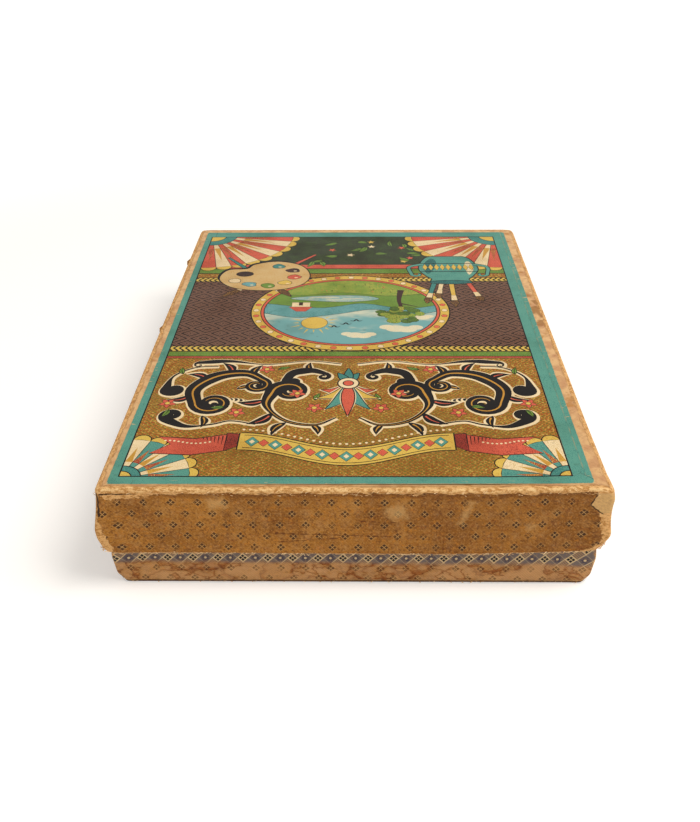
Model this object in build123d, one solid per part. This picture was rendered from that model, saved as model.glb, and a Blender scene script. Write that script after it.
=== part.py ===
# A child's drawing-stencil box: a set-up strawboard box with a lift-off lid, its papers and its contents.
# Millimetres. X is the width, Y the length and Z is up; the origin is the middle of the underside.
from build123d import *
import math
import os

# Outside of the closed box
lid_width = 184.0
lid_length = 260.0
box_height = 45.6
lid_depth = 28.6  # from the top of the label down to the lid's rim

# Board and papers
board = 1.5  # strawboard
cover = 0.15  # patterned paper that wraps both trays
stay = 0.12  # paper strip glued round each corner, under the cover
stay_leg = 18.0  # how far a stay runs along each wall
label = 0.15
running_clearance = 0.6  # between the base's outside and the lid's turned-in paper, on each side

# How the trays are folded and covered
corner_radius = 2.5  # upright corners, softened by handling
web = 0.5  # board left uncut along a score
corner_gap = 0.2  # each wall stops this short of the inside corner
turn_in = 10.0  # paper turned over the rim and down the inside
lid_margin = 8.0  # paper turned over onto the lid's panel
base_margin = 12.0  # paper turned under the base's panel
mitre_slit = 0.4  # cut where two turned margins meet

# The label was laid by hand, so each of its margins has its own width
label_left = 4.7
label_right = 5.9
label_near = 3.9
label_far = 5.4

# Sheets of drawing paper
leaf_count = 30
leaf_thickness = 0.17
leaf_air = 0.03  # between two leaves
leaf_margin = 5.5  # between the stack and the walls
leaf_drift = 0.8  # how far a leaf has slid from the middle of the stack

# Stencil cards lie in two piles, near and far
card_thickness = 1.0
card_margin = 4.0  # between a card and the walls
card_corner = 2.0
pile_gap = 6.0  # between the piles
bridge = 3.0  # card left between two openings of a motif

# Pencils lie on the cards
pencil_diameter = 7.0
pencil_length = 165.0
lead_diameter = 2.2
sharpened_length = 20.0
lead_point = 4.5  # bare lead beyond the wood
point_radius = 0.3
pencil_lift = 0.1  # the round barrels just clear the cards
pencil_spacing = 13.0

# What follows from those sizes
score_bevel = min(board - web + cover, 0.9 * corner_radius)  # the cover bridges the open score
core_bevel = score_bevel - cover * (2 - math.sqrt(2))  # the same bevel, one paper's thickness in
lid_height = lid_depth - label
base_height = box_height - label - board  # the lid's panel rests on the base's rim
fit_inset = cover + board + cover + running_clearance
base_width = lid_width - 2 * fit_inset
base_length = lid_length - 2 * fit_inset
inside_width = base_width - 2 * (cover + board)
inside_length = base_length - 2 * (cover + board)
leaf_pitch = leaf_thickness + leaf_air
stack_top = board + leaf_count * leaf_pitch - leaf_air
card_width = inside_width - 2 * card_margin
card_length = (inside_length - 2 * card_margin - pile_gap) / 2


def block(width, length, bottom, top):
    return Pos(0, 0, (bottom + top) / 2) * Box(width, length, top - bottom)


def bevelled_block(width, length, bottom, top, corner, bevel):
    upright = extrude(RectangleRounded(width, length, corner), amount=top - bottom)
    upright = Pos(0, 0, bottom) * upright
    return chamfer(upright.edges().group_by(Axis.Z)[0], bevel)


# Four walls and a floor folded from one scored sheet; the scores stay open on the outside.
def folded_sheet(inner_x, inner_y, rim):
    sheet = block(2 * inner_x, 2 * inner_y, 0, board)
    wall_height = rim - board
    for side in (-1, 1):
        for across, along, turn in ((inner_x, inner_y, 0), (inner_y, inner_x, 90)):
            run = 2 * (along - corner_gap)
            wall = Pos(side * (across + board / 2), 0, board + wall_height / 2) * Box(board, run, wall_height)
            hinge = Pos(side * (across + web / 2), 0, board - web / 2) * Box(web, run, web)
            sheet += Rot(0, 0, turn) * (wall + hinge)
    return sheet


# Paper strips that hold the walls together at the corners, bedded in the board.
def corner_stays(outer_x, outer_y, rim):
    corner = corner_radius - cover
    ring = RectangleRounded(2 * outer_x, 2 * outer_y, corner)
    ring -= RectangleRounded(2 * (outer_x - stay), 2 * (outer_y - stay), corner - stay)
    ring = Pos(0, 0, board) * extrude(ring, amount=rim - board)
    stays = {}
    for end, y in (("near", -1), ("far", 1)):
        for hand, x in (("left", -1), ("right", 1)):
            place = Pos(x * (outer_x - stay_leg / 2), y * (outer_y - stay_leg / 2), rim / 2)
            stays[f"{end}_{hand}"] = ring & (place * Box(stay_leg, stay_leg, 2 * rim))
    return stays


# The cuts between the turned margins, from within each corner of the window outwards.
def mitre_cuts(width, length, margin):
    reach = (margin - corner_radius) * math.sqrt(2)
    cuts = []
    for x, y, turn in ((1, 1, 45), (-1, 1, 135), (-1, -1, 225), (1, -1, 315)):
        window_corner = Pos(x * (width / 2 - margin), y * (length / 2 - margin), cover / 2)
        along = Pos((reach - mitre_slit) / 2, 0, 0) * Box(reach + mitre_slit, mitre_slit, 2 * cover)
        cuts.append(window_corner * Rot(0, 0, turn) * along)
    return cuts


# One covered tray, open at the top: its board, its corner stays and its cover paper.
def tray(width, length, height, margin):
    rim = height - cover
    outer_x, outer_y = width / 2 - cover, length / 2 - cover
    inner_x, inner_y = outer_x - board, outer_y - board

    skin = bevelled_block(width, length, 0, height, corner_radius, score_bevel)
    core = bevelled_block(2 * outer_x, 2 * outer_y, cover, rim, corner_radius - cover, core_bevel)
    core += block(width - 2 * margin, length - 2 * margin, 0, cover)

    stays = corner_stays(outer_x, outer_y, rim)
    sheet = folded_sheet(inner_x, inner_y, rim) & core
    for strip in stays.values():
        sheet -= strip

    turned_in = block(2 * inner_x, 2 * inner_y, height - turn_in, rim)
    hollow = block(2 * (inner_x - cover), 2 * (inner_y - cover), board, height)
    wrap = (skin - core) + turned_in - hollow
    for cut in mitre_cuts(width, length, margin):
        wrap -= cut
    return sheet, stays, wrap


# Turns a tray over and sets its panel at the top of the box.
def turned_over(shape):
    return Pos(0, 0, box_height - label) * Rot(180, 0, 0) * shape


# Drawing paper: a stack of leaves that have slid a little.
def drawing_paper():
    leaves = []
    for number in range(leaf_count):
        x = leaf_drift * math.sin(2.4 * number)
        y = leaf_drift * math.cos(3.7 * number)
        bottom = board + number * leaf_pitch
        leaf = block(inside_width - 2 * leaf_margin, inside_length - 2 * leaf_margin, bottom, bottom + leaf_thickness)
        leaves.append(Pos(x, y, 0) * leaf)
    return Compound(children=leaves)


# A pointed oval, from two equal circles.
def pointed_oval(half_length, half_width):
    radius = (half_length**2 + half_width**2) / (2 * half_width)
    offset = radius - half_width
    return (Pos(0, -offset) * Circle(radius)) & (Pos(0, offset) * Circle(radius))


# A strip that starts at a point and runs off at an angle.
def ray(x, y, angle, length, width=bridge):
    return Pos(x, y) * Rot(0, 0, angle) * Pos(length / 2, 0) * Rectangle(length, width)


def outline(*corners):
    return make_face(Polyline(*corners, close=True))


def leaf_motif():
    blade = pointed_oval(56, 24) - Rectangle(130, bridge)
    for x in (-42, -26, -10, 6, 22):
        blade -= ray(x, 0, 48, 50)
        blade -= ray(x, 0, -48, 50)
    return blade + Pos(-66, 0) * RectangleRounded(14, 4, 1.5)


def flower_motif():
    petals = Circle(8)
    for number in range(8):
        petals += Rot(0, 0, 45 * number) * Pos(28, 0) * pointed_oval(16, 8)
        petals += Rot(0, 0, 45 * number + 22.5) * Pos(40, 0) * Rot(0, 0, 45) * Rectangle(5, 5)
    return petals


def fish_motif():
    body = pointed_oval(50, 22)
    for x in (-22, -5, 12, 29):
        body -= Pos(x, 0) * Rectangle(bridge, 50)
    body -= Pos(-36, 0) * (Rectangle(30, bridge) + Circle(4))
    tail = outline((54, 0), (72, 17), (66, 0), (72, -17))
    back_fin = outline((-12, 25), (14, 25), (4, 36))
    belly_fin = outline((-4, -26), (12, -26), (10, -36))
    return body + tail + back_fin + belly_fin


def butterfly_motif():
    wings = Rot(0, 0, 90) * pointed_oval(28, 3.6)
    for side in (-1, 1):
        upper = pointed_oval(29, 15) - Rectangle(60, bridge)
        wings += Pos(side * 33, 17) * Rot(0, 0, side * 28) * upper
        lower = pointed_oval(21, 11) - Circle(3) - Rectangle(bridge, 30)
        wings += Pos(side * 25, -22) * Rot(0, 0, side * -30) * lower
        wings += Pos(side * 5, 33) * Rot(0, 0, 90 - side * 25) * Pos(6, 0) * RectangleRounded(14, 2.6, 1)
    return wings


def boat_motif():
    hull = outline((-50, -16), (50, -16), (36, -36), (-36, -36))
    for x in (-17, 17):
        hull -= Pos(x, -26) * Rectangle(bridge, 30)
    main_sail = outline((-2, -11), (-2, 45), (-34, -11)) - Pos(-18, 12) * Rectangle(50, bridge)
    fore_sail = outline((3, -11), (3, 36), (34, -11)) - Pos(18, 9) * Rectangle(50, bridge)
    return hull + main_sail + fore_sail


def star_motif():
    tips, waist = 46, 18
    corners = []
    for number in range(10):
        reach = tips if number % 2 == 0 else waist
        angle = math.radians(90 + 36 * number)
        corners.append((reach * math.cos(angle), reach * math.sin(angle)))
    star = outline(*corners) - Circle(6)
    for number in range(5):
        star -= ray(0, 0, 126 + 72 * number, tips)
    return star


def house_motif():
    roof = outline((-48, 6), (48, 6), (32, 29), (-32, 29))
    for x in (-16, 16):
        roof -= Pos(x, 17) * Rectangle(bridge, 40)
    chimney = Pos(22, 37) * Rectangle(9, 9)
    door = Pos(0, -23) * Rectangle(15, 30) + Pos(0, -8) * Circle(7.5)
    walls = Sketch()
    for side in (-1, 1):
        wall = Pos(side * 27, -18) * Rectangle(24, 40)
        wall -= Pos(side * 27, -14) * (Rectangle(11, 12) + Rectangle(bridge, 60) + Rectangle(40, bridge))
        walls += wall
    return roof + chimney + door + walls


def bird_motif():
    body = Rot(0, 0, 18) * (pointed_oval(34, 15) - Rectangle(bridge, 40))
    shape = body + Pos(36, 21) * Circle(8) + outline((47, 18), (47, 24), (57, 20))
    for number in range(3):
        shape += Pos(-2 - 12 * number, 35 + 2 * number) * Rot(0, 0, 118) * pointed_oval(15, 4.4)
        shape += Pos(-31, -12) * Rot(0, 0, 166 + 24 * number) * Pos(21, 0) * pointed_oval(12, 2.8)
    return Pos(0, -10) * shape


def stencil_card(motif):
    face = RectangleRounded(card_width, card_length, card_corner) - motif
    return extrude(face, amount=card_thickness)


# The two piles, each from the bottom up.
piles = (
    (-1, {"house": house_motif, "fish": fish_motif, "bird": bird_motif, "butterfly": butterfly_motif}),
    (1, {"boat": boat_motif, "star": star_motif, "leaf": leaf_motif, "flower": flower_motif}),
)
cards_top = stack_top + card_thickness * max(len(pile) for _, pile in piles)


# A round cedar pencil lying on its side, with its point along the turn given.
def pencil(x, y, turn):
    barrel_radius, lead_radius = pencil_diameter / 2, lead_diameter / 2
    wood_end = pencil_length - lead_point
    shoulder = wood_end - sharpened_length
    barrel = Polyline(
        (lead_radius, 0),
        (barrel_radius, 0),
        (barrel_radius, shoulder),
        (lead_radius, wood_end),
        close=True,
    )
    lead = Polyline(
        (0, 0),
        (lead_radius, 0),
        (lead_radius, wood_end),
        (point_radius, pencil_length),
        (0, pencil_length),
        close=True,
    )
    height = cards_top + pencil_lift + barrel_radius
    place = Pos(x, y, height) * Rot(0, 0, turn) * Pos(0, -pencil_length / 2, 0)
    return [place * revolve(make_face(profile), axis=Axis.Y) for profile in (barrel, lead)]


def save(shape, name):
    shape.label = name
    export_step(shape, f"parts/{name}.step")


def main():
    os.makedirs("parts", exist_ok=True)

    base_sheet, base_stays, base_wrap = tray(base_width, base_length, base_height, base_margin)
    save(base_sheet, "base_board")
    save(base_wrap, "base_cover_paper")
    for place, strip in base_stays.items():
        save(strip, f"base_corner_stay_{place}")

    lid_sheet, lid_stays, lid_wrap = tray(lid_width, lid_length, lid_height, lid_margin)
    save(turned_over(lid_sheet), "lid_board")
    save(turned_over(lid_wrap), "lid_cover_paper")
    for place, strip in lid_stays.items():
        save(turned_over(strip), f"lid_corner_stay_{place}")

    label_place = Pos((label_left - label_right) / 2, (label_near - label_far) / 2, box_height - label / 2)
    label_sheet = Box(lid_width - label_left - label_right, lid_length - label_near - label_far, label)
    save(label_place * label_sheet, "lid_label")

    save(drawing_paper(), "drawing_paper")

    for end, pile in piles:
        y = end * (pile_gap + card_length) / 2
        for number, (name, motif) in enumerate(pile.items()):
            card = Pos(0, y, stack_top + number * card_thickness) * stencil_card(motif())
            save(card, f"stencil_card_{name}")

    for number, turn in enumerate((1.6, -1.0, 182.0), start=1):
        barrel, lead = pencil((number - 2) * pencil_spacing, 0, turn)
        save(barrel, f"pencil_{number}_barrel")
        save(lead, f"pencil_{number}_lead")


if __name__ == "__main__":
    main()
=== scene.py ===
# The looks of an old drawing-stencil box: covers, boards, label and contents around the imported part.
import math
import random

import bmesh
import bpy
import numpy as np
from mathutils import Matrix, Vector, geometry, noise


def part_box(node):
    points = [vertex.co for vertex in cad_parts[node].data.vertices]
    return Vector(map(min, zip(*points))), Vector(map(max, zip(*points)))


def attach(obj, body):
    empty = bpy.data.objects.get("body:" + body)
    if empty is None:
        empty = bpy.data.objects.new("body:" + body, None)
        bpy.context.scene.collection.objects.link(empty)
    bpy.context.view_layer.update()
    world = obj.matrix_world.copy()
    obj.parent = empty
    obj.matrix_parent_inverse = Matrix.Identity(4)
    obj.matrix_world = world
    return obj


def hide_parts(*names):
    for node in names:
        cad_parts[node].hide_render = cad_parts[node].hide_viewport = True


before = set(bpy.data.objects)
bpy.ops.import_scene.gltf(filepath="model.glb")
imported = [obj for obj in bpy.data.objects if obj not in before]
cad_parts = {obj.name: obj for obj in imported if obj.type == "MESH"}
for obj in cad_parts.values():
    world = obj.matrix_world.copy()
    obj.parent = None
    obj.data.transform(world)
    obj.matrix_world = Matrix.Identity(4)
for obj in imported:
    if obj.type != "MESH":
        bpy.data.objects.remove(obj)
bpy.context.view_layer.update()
mm = 0.001
print("frame loaded,", len(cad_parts), "nodes")


# Colours are picked as they look on screen, and shaders want them linear.
def colour(red, green, blue):
    shares = (c / 255 for c in (red, green, blue))
    return tuple(c / 12.92 if c <= 0.04045 else ((c + 0.055) / 1.055) ** 2.4 for c in shares) + (1.0,)


# Makes an object of a mesh, lens or lamp and puts it in the scene.
def linked(name, data):
    made = bpy.data.objects.new(name, data)
    bpy.context.scene.collection.objects.link(made)
    return made


def fromBmesh(name, mesh):
    data = bpy.data.meshes.new(name)
    mesh.to_mesh(data)
    mesh.free()
    return linked(name, data)


# Turns every face of a closed piece outwards.
def facedOutwards(piece):
    mesh = bmesh.new()
    mesh.from_mesh(piece.data)
    bmesh.ops.recalc_face_normals(mesh, faces=mesh.faces)
    mesh.to_mesh(piece.data)
    mesh.free()
    return piece


# A few short ways to lay nodes, so that each material below reads as a recipe.
class Recipe:
    def __init__(self, name, roughness=0.8, specular=0.3):
        self.material = bpy.data.materials.new(name)
        self.material.use_nodes = True
        self.tree = self.material.node_tree
        self.tree.nodes.clear()
        output = self.tree.nodes.new("ShaderNodeOutputMaterial")
        self.shader = self.tree.nodes.new("ShaderNodeBsdfPrincipled")
        self.tree.links.new(self.shader.outputs["BSDF"], output.inputs["Surface"])
        self.shader.inputs["Roughness"].default_value = roughness
        self.shader.inputs["Specular IOR Level"].default_value = specular
        place = self.tree.nodes.new("ShaderNodeTexCoord").outputs["Object"]
        self.place = self.vector("SCALE", place, scale=1 / mm)  # millimetres in the part's own frame
        self.x, self.y, self.z = self.split(self.place)

    def put(self, socket, value):
        if isinstance(value, bpy.types.NodeSocket):
            self.tree.links.new(value, socket)
        elif value is not None:
            socket.default_value = value

    def split(self, vector):
        node = self.tree.nodes.new("ShaderNodeSeparateXYZ")
        self.put(node.inputs[0], vector)
        return node.outputs[0], node.outputs[1], node.outputs[2]

    def join(self, x, y, z=0.0):
        node = self.tree.nodes.new("ShaderNodeCombineXYZ")
        for socket, value in zip(node.inputs, (x, y, z)):
            self.put(socket, value)
        return node.outputs[0]

    def vector(self, operation, a, b=None, scale=None):
        node = self.tree.nodes.new("ShaderNodeVectorMath")
        node.operation = operation
        self.put(node.inputs[0], a)
        self.put(node.inputs[1], b)
        if scale is not None:
            node.inputs["Scale"].default_value = scale
        return node.outputs["Vector"]

    def math(self, operation, a, b=None, c=None, clamp=False):
        node = self.tree.nodes.new("ShaderNodeMath")
        node.operation = operation
        node.use_clamp = clamp
        for socket, value in zip(node.inputs, (a, b, c)):
            self.put(socket, value)
        return node.outputs[0]

    def chain(self, operation, values):
        result = values[0]
        for value in values[1:]:
            result = self.math(operation, result, value)
        return result

    def times(self, *values):
        return self.chain("MULTIPLY", values)

    def add(self, *values):
        return self.chain("ADD", values)

    def largest(self, *values):
        return self.chain("MAXIMUM", values)

    def least(self, *values):
        return self.chain("MINIMUM", values)

    def minus(self, a, b, clamp=False):
        return self.math("SUBTRACT", a, b, clamp=clamp)

    # 0 below low, 1 above high and smooth between; low above high turns it round
    def rise(self, value, low, high):
        node = self.tree.nodes.new("ShaderNodeMapRange")
        node.interpolation_type = "SMOOTHSTEP"
        self.put(node.inputs["Value"], value)
        self.put(node.inputs["From Min"], low)
        self.put(node.inputs["From Max"], high)
        return node.outputs["Result"]

    def within(self, value, low, high, soft):
        return self.times(self.rise(value, low - soft, low + soft), self.rise(value, high + soft, high - soft))

    # noise whose features are about size millimetres across
    def noise(self, size, detail=3.0, place=None, stretch=None, seed=0.0, roughness=0.5):
        node = self.tree.nodes.new("ShaderNodeTexNoise")
        place = self.place if place is None else place
        if stretch is not None:
            place = self.vector("MULTIPLY", place, stretch)
        self.put(node.inputs["Vector"], self.vector("ADD", place, (seed * 31.7, seed * 17.3, seed * 9.1)))
        node.inputs["Scale"].default_value = 1 / size
        node.inputs["Detail"].default_value = detail
        node.inputs["Roughness"].default_value = roughness
        return node.outputs["Fac"]

    def cells(self, size, place=None, feature="F1", seed=0.0):
        node = self.tree.nodes.new("ShaderNodeTexVoronoi")
        node.feature = feature
        place = self.place if place is None else place
        self.put(node.inputs["Vector"], self.vector("ADD", place, (seed * 13.1, seed * 7.7, seed * 3.3)))
        node.inputs["Scale"].default_value = 1 / size
        return node.outputs["Distance"]

    # the node's sockets have like names for every kind of value, so those for colours are taken by number
    def mix(self, amount, a, b, kind="MIX"):
        amountSocket, firstColour, secondColour, mixedColour = 0, 6, 7, 2
        node = self.tree.nodes.new("ShaderNodeMix")
        node.data_type = "RGBA"
        node.blend_type = kind
        self.put(node.inputs[amountSocket], amount)
        self.put(node.inputs[firstColour], a)
        self.put(node.inputs[secondColour], b)
        return node.outputs[mixedColour]

    # lays a tone over the base, up to the amount, as the fact goes from low to high
    def touch(self, base, tone, fact, low, high, amount, kind="MIX"):
        return self.mix(self.times(self.rise(fact, low, high), amount), base, tone, kind)

    def attribute(self, name):
        node = self.tree.nodes.new("ShaderNodeAttribute")
        node.attribute_name = name
        return node.outputs["Vector"]

    def sheetPlace(self):
        node = self.tree.nodes.new("ShaderNodeUVMap")
        node.uv_map = "sheetPlace"
        return node.outputs[0]

    def bump(self, height, distance, strength=1.0, below=None):
        node = self.tree.nodes.new("ShaderNodeBump")
        node.inputs["Strength"].default_value = strength
        node.inputs["Distance"].default_value = distance * mm
        self.put(node.inputs["Height"], height)
        if below is not None:
            self.put(node.inputs["Normal"], below)
        return node.outputs[0]

    def finish(self, base, normal=None, roughness=None):
        self.put(self.shader.inputs["Base Color"], base)
        if normal is not None:
            self.put(self.shader.inputs["Normal"], normal)
        if roughness is not None:
            self.put(self.shader.inputs["Roughness"], roughness)
        return self.material


# A node's lowest and highest corners in millimetres
def sizes(node):
    low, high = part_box(node)
    return [v / mm for v in low], [v / mm for v in high]


lidLow, lidHigh = sizes("lid_cover_paper")
baseLow, baseHigh = sizes("base_cover_paper")
labelLow, labelHigh = sizes("lid_label")
boardThickness = lidHigh[2] - sizes("base_cover_paper")[1][2]
paperThickness = labelHigh[2] - labelLow[2]

# The two trays in millimetres, read from the frame where it has them. "up" is 1 where the panel lies on top and -1
# where it lies underneath. The print has its repeat across, how far it is moved along and up the paper, how much it
# leans, and how much the paper stretched at the left end.
lid = {
    "up": 1,
    "halfWidth": lidHigh[0],
    "halfLength": lidHigh[1],
    "panel": lidHigh[2],
    "rim": lidLow[2],
    "margin": 8.0,
    "turnIn": 10.0,
    "corner": 1.7,
    "fold": 1.0,
    "print": {"across": 9.5, "along": -2.25, "up": -0.55, "lean": 0.0, "stretched": 1.1},
}
base = {
    "up": -1,
    "halfWidth": baseHigh[0],
    "halfLength": baseHigh[1],
    "panel": baseLow[2],
    "rim": baseHigh[2],
    "margin": 12.0,
    "turnIn": 10.0,
    "corner": 1.4,
    "fold": 0.6,
    "print": {"across": 9.43, "along": 3.45, "up": -2.1, "lean": 0.0027, "stretched": 0.0},
}

# How handling has bent the walls, in millimetres
handling = {
    "lidFlare": 1.35,
    "waveHeight": 0.22,
    "waveLength": 45.0,
    "baseGives": (-0.05, 0.12),  # the base stays within the lid, so its walls move less
    "wallReach": 9.0,  # how far in from the outside a layer still belongs to a wall
    "wallBlend": 5.0,
}
# Each crushed corner is given by its signs in X and Y, its height, how far it went in and up, and how far round the
# damage reaches. A corner that went in by less than nothing bulges.
lid["crushed"] = [
    (-1, -1, lid["rim"], 1.2, 1.5, 6.5),
    (1, -1, lid["rim"], 1.9, 1.6, 7.5),
    (1, -1, lid["rim"], 0.0, 2.0, 55.0),
    (-1, 1, lid["rim"], 1.2, 1.3, 7.0),
    (1, 1, lid["rim"], 1.0, 1.2, 7.0),
    (-1, -1, 28.0, -1.5, 0.0, 13.0),
    (1, -1, 24.0, -1.2, 0.0, 12.0),
    (1, -1, 41.0, -1.4, 0.0, 11.0),
    (-1, -1, lid["panel"], -0.2, -0.5, 5.0),
    (1, -1, lid["panel"], 0.1, -0.9, 7.0),
    (-1, 1, lid["panel"], 0.5, -0.2, 6.0),
    (1, 1, lid["panel"], 0.7, -0.2, 6.0),
]
base["crushed"] = [
    (-1, -1, 13.0, -1.2, 0.0, 13.0),
    (1, -1, 13.0, -1.3, 0.0, 13.0),
    (-1, -1, base["panel"], 1.7, 0.8, 4.0),
    (1, -1, base["panel"], 1.4, 1.0, 3.9),
    (-1, 1, base["panel"], 1.7, 1.4, 7.0),
    (1, 1, base["panel"], 1.5, 1.4, 7.0),
    (-1, 1, base["rim"], 0.6, -0.5, 5.0),
    (1, -1, base["rim"], 0.5, -0.4, 4.0),
]


# Moves points in millimetres from the clean folded shape to the handled one, the same for every layer.
def handled(points, tray):
    moved = np.array(points, float)
    x, y, z = moved.T.copy()
    zone, blend = handling["wallReach"], handling["wallBlend"]
    overX = np.clip((np.abs(x) - (tray["halfWidth"] - zone)) / blend, 0, 1)
    overY = np.clip((np.abs(y) - (tray["halfLength"] - zone)) / blend, 0, 1)
    reach = abs(tray["panel"] - tray["rim"])
    down = np.clip(np.abs(z - tray["panel"]) / reach, 0, 1)
    step = handling["waveLength"]
    wave = np.array([noise.noise(Vector((a / step, b / step, c / step / 2))) for a, b, c in zip(x, y, z)])
    out = handling["waveHeight"] * 2 * wave * down
    if tray is lid:
        out = out + handling["lidFlare"] * down**1.3
    else:
        out = np.clip(out, *handling["baseGives"])
    moved[:, 0] += np.sign(x) * overX * out
    moved[:, 1] += np.sign(y) * overY * out
    for signX, signY, height, inward, up, radius in tray["crushed"]:
        corner = np.array((signX * tray["halfWidth"], signY * tray["halfLength"], height))
        distance = np.linalg.norm((np.stack((x, y, z), 1) - corner) * (1, 1, 0.8), axis=1)
        weight = np.clip(1 - distance / radius, 0, 1) ** 1.6
        moved[:, 0] -= signX * inward * weight
        moved[:, 1] -= signY * inward * weight
        moved[:, 2] += up * weight
    return moved


# Sweeps a profile round the four sides of a tray. Each row of the profile is how far in it lies from the outside,
# its height, and its place across the flat paper. Rows far in are cut off at the mitres.
def sweep(name, tray, profile, spacing):
    corner, arcSteps = tray["corner"], 6
    halves = (tray["halfWidth"], tray["halfLength"])
    flatEnds = [half - corner for half in halves]
    around = [flat + corner * math.pi / 4 for flat in flatEnds]
    centres = (0, around[0] + around[1], 2 * around[0] + 2 * around[1], -around[0] - around[1])
    mesh = bmesh.new()
    sheet = mesh.loops.layers.uv.new("sheetPlace")
    gaps = mesh.verts.layers.float_vector.new("foldGap")
    for side in range(4):
        along, across = halves[side % 2], halves[(side + 1) % 2]
        flat = flatEnds[side % 2]
        straight = np.linspace(-flat, flat, int(2 * flat / spacing) + 1)
        bends = np.radians(np.linspace(0, 45, arcSteps + 1)[1:])
        columns = [(-1, b) for b in bends[::-1]] + [(0, s) for s in straight] + [(1, b) for b in bends]
        rows = []
        for inset, height, paperPlace in profile:
            radius = corner - inset
            row = []
            for end, value in columns:
                if end == 0:
                    t, o, u = value, across - inset, value
                else:
                    t = end * (flat + max(radius, 0) * math.sin(value))
                    o = across - corner + radius * math.cos(value) if radius > 0 else across - inset
                    u = end * (flat + corner * value)
                if radius <= 0:
                    limit = max(along - inset, 0)
                    t = min(max(value if end == 0 else end * limit, -limit), limit)
                    u = t
                x, y = ((t, -o), (o, t), (-t, o), (-o, -t))[side]
                row.append((x, y, height, centres[side] + u, paperPlace, along - abs(t)))
            rows.append(row)
        grid = []
        for row in rows:
            points = handled([r[:3] for r in row], tray)
            line = []
            for point, r in zip(points, row):
                vert = mesh.verts.new(Vector(point) * mm)
                vert[gaps] = (r[4], r[2], r[5])
                line.append((vert, (r[3], r[4])))
            grid.append(line)
        for upper, lower in zip(grid, grid[1:]):
            for i in range(len(upper) - 1):
                loop = [upper[i], lower[i], lower[i + 1], upper[i + 1]]
                if tray is base:
                    loop.reverse()
                face = mesh.faces.new([v for v, _ in loop])
                face.smooth = True
                for loopCorner, (_, place) in zip(face.loops, loop):
                    loopCorner[sheet].uv = place
    bmesh.ops.remove_doubles(mesh, verts=mesh.verts, dist=0.004 * mm)
    bmesh.ops.dissolve_degenerate(mesh, dist=0.002 * mm, edges=mesh.edges)
    return fromBmesh(name, mesh)


def steps(start, end, spacing):
    count = max(1, round(abs(end - start) / spacing))
    return [start + (end - start) * i / count for i in range(count + 1)]


# A quarter turn from the panel's face round onto the wall
def foldRows(tray, inset, rounding, place):
    rows = []
    eighthTurn = 0.785  # radians; the middle of the fold keeps its place on the flat paper
    up = tray["up"]
    for i in range(6):
        angle = math.radians(90 * i / 5)
        across, down = (inset + rounding * (1 - f(angle)) for f in (math.sin, math.cos))
        rows.append((across, tray["panel"] - up * down, place + rounding * (eighthTurn - angle)))
    return rows


# The cover paper: turned margin, fold, wall, rim and turn-in, given its thickness afterwards.
def coverPaper(name, tray, spacing):
    up = tray["up"]
    inner = boardThickness + 2 * paperThickness
    fold, panel, rim = tray["fold"], tray["panel"], tray["rim"]
    profile = [(inset, panel, panel + up * inset) for inset in steps(tray["margin"], fold * 1.6, 1.0)]
    profile += foldRows(tray, 0.0, fold, panel)
    profile += [(0.0, height, height) for height in steps(panel - up * (fold + 1.0), rim + up * 0.5, 1.3)]
    rounding = inner / 2
    for turn in np.radians(range(0, 181, 30)):
        height = rim + up * (0.5 - 0.5 * math.sin(turn))
        profile.append((rounding - rounding * math.cos(turn), height, rim - up * rounding * turn))
    profile += [(inner, rim + up * d, rim - up * (d + inner)) for d in steps(1.0, tray["turnIn"], 1.5)]
    piece = sweep(name, tray, profile, spacing)
    thick = piece.modifiers.new("thickness", "SOLIDIFY")
    thick.thickness = paperThickness * mm
    thick.offset = -1
    thick.use_quality_normals = True
    return applied(piece)


# Turns a piece with modifiers into a plain mesh.
def applied(piece):
    evaluated = piece.evaluated_get(bpy.context.evaluated_depsgraph_get())
    data = bpy.data.meshes.new_from_object(evaluated)
    piece.modifiers.clear()
    old = piece.data
    piece.data = data
    bpy.data.meshes.remove(old)
    data.name = piece.name
    return piece


# The folded board inside a cover: inner floor, inner walls, rim, outer walls and outer panel, closed all round.
def foldedBoard(name, tray):
    up = tray["up"]
    skin = paperThickness + 0.16  # the cover and a corner stay lie outside it
    inner = paperThickness + boardThickness
    panel, rim = tray["panel"], tray["rim"]
    middle = tray["halfWidth"]
    inside = panel - up * boardThickness
    outside = panel - up * skin
    profile = [(inset, outside, 0) for inset in steps(middle, skin + 1.2, 7.0)]
    profile += [(skin + 0.4, outside - up * 0.3, 0), (skin, outside - up * 1.1, 0)]
    profile += [(skin, height, height) for height in steps(outside - up * 2.0, rim + up * 0.7, 2.2)]
    profile += [(skin + 0.4, rim + up * 0.3, rim), (inner - 0.4, rim + up * 0.3, rim), (inner, rim + up * 0.7, rim)]
    profile += [(inner, height, height) for height in steps(rim + up * 2.0, inside - up * 0.4, 2.2)]
    profile += [(inner + 0.25, inside - up * 0.1, inside), (inner + 1.0, inside, inside)]
    profile += [(inset, inside, inside + inset) for inset in steps(inner + 4.0, middle, 7.0)]
    return facedOutwards(sweep(name, tray, profile, spacing=4.0))


# Corner stays: thin strips between the cover and the board, each round its own corner, in millimetres
stay = {"leg": 18.0, "thickness": 0.1, "underCover": 0.02}


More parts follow.
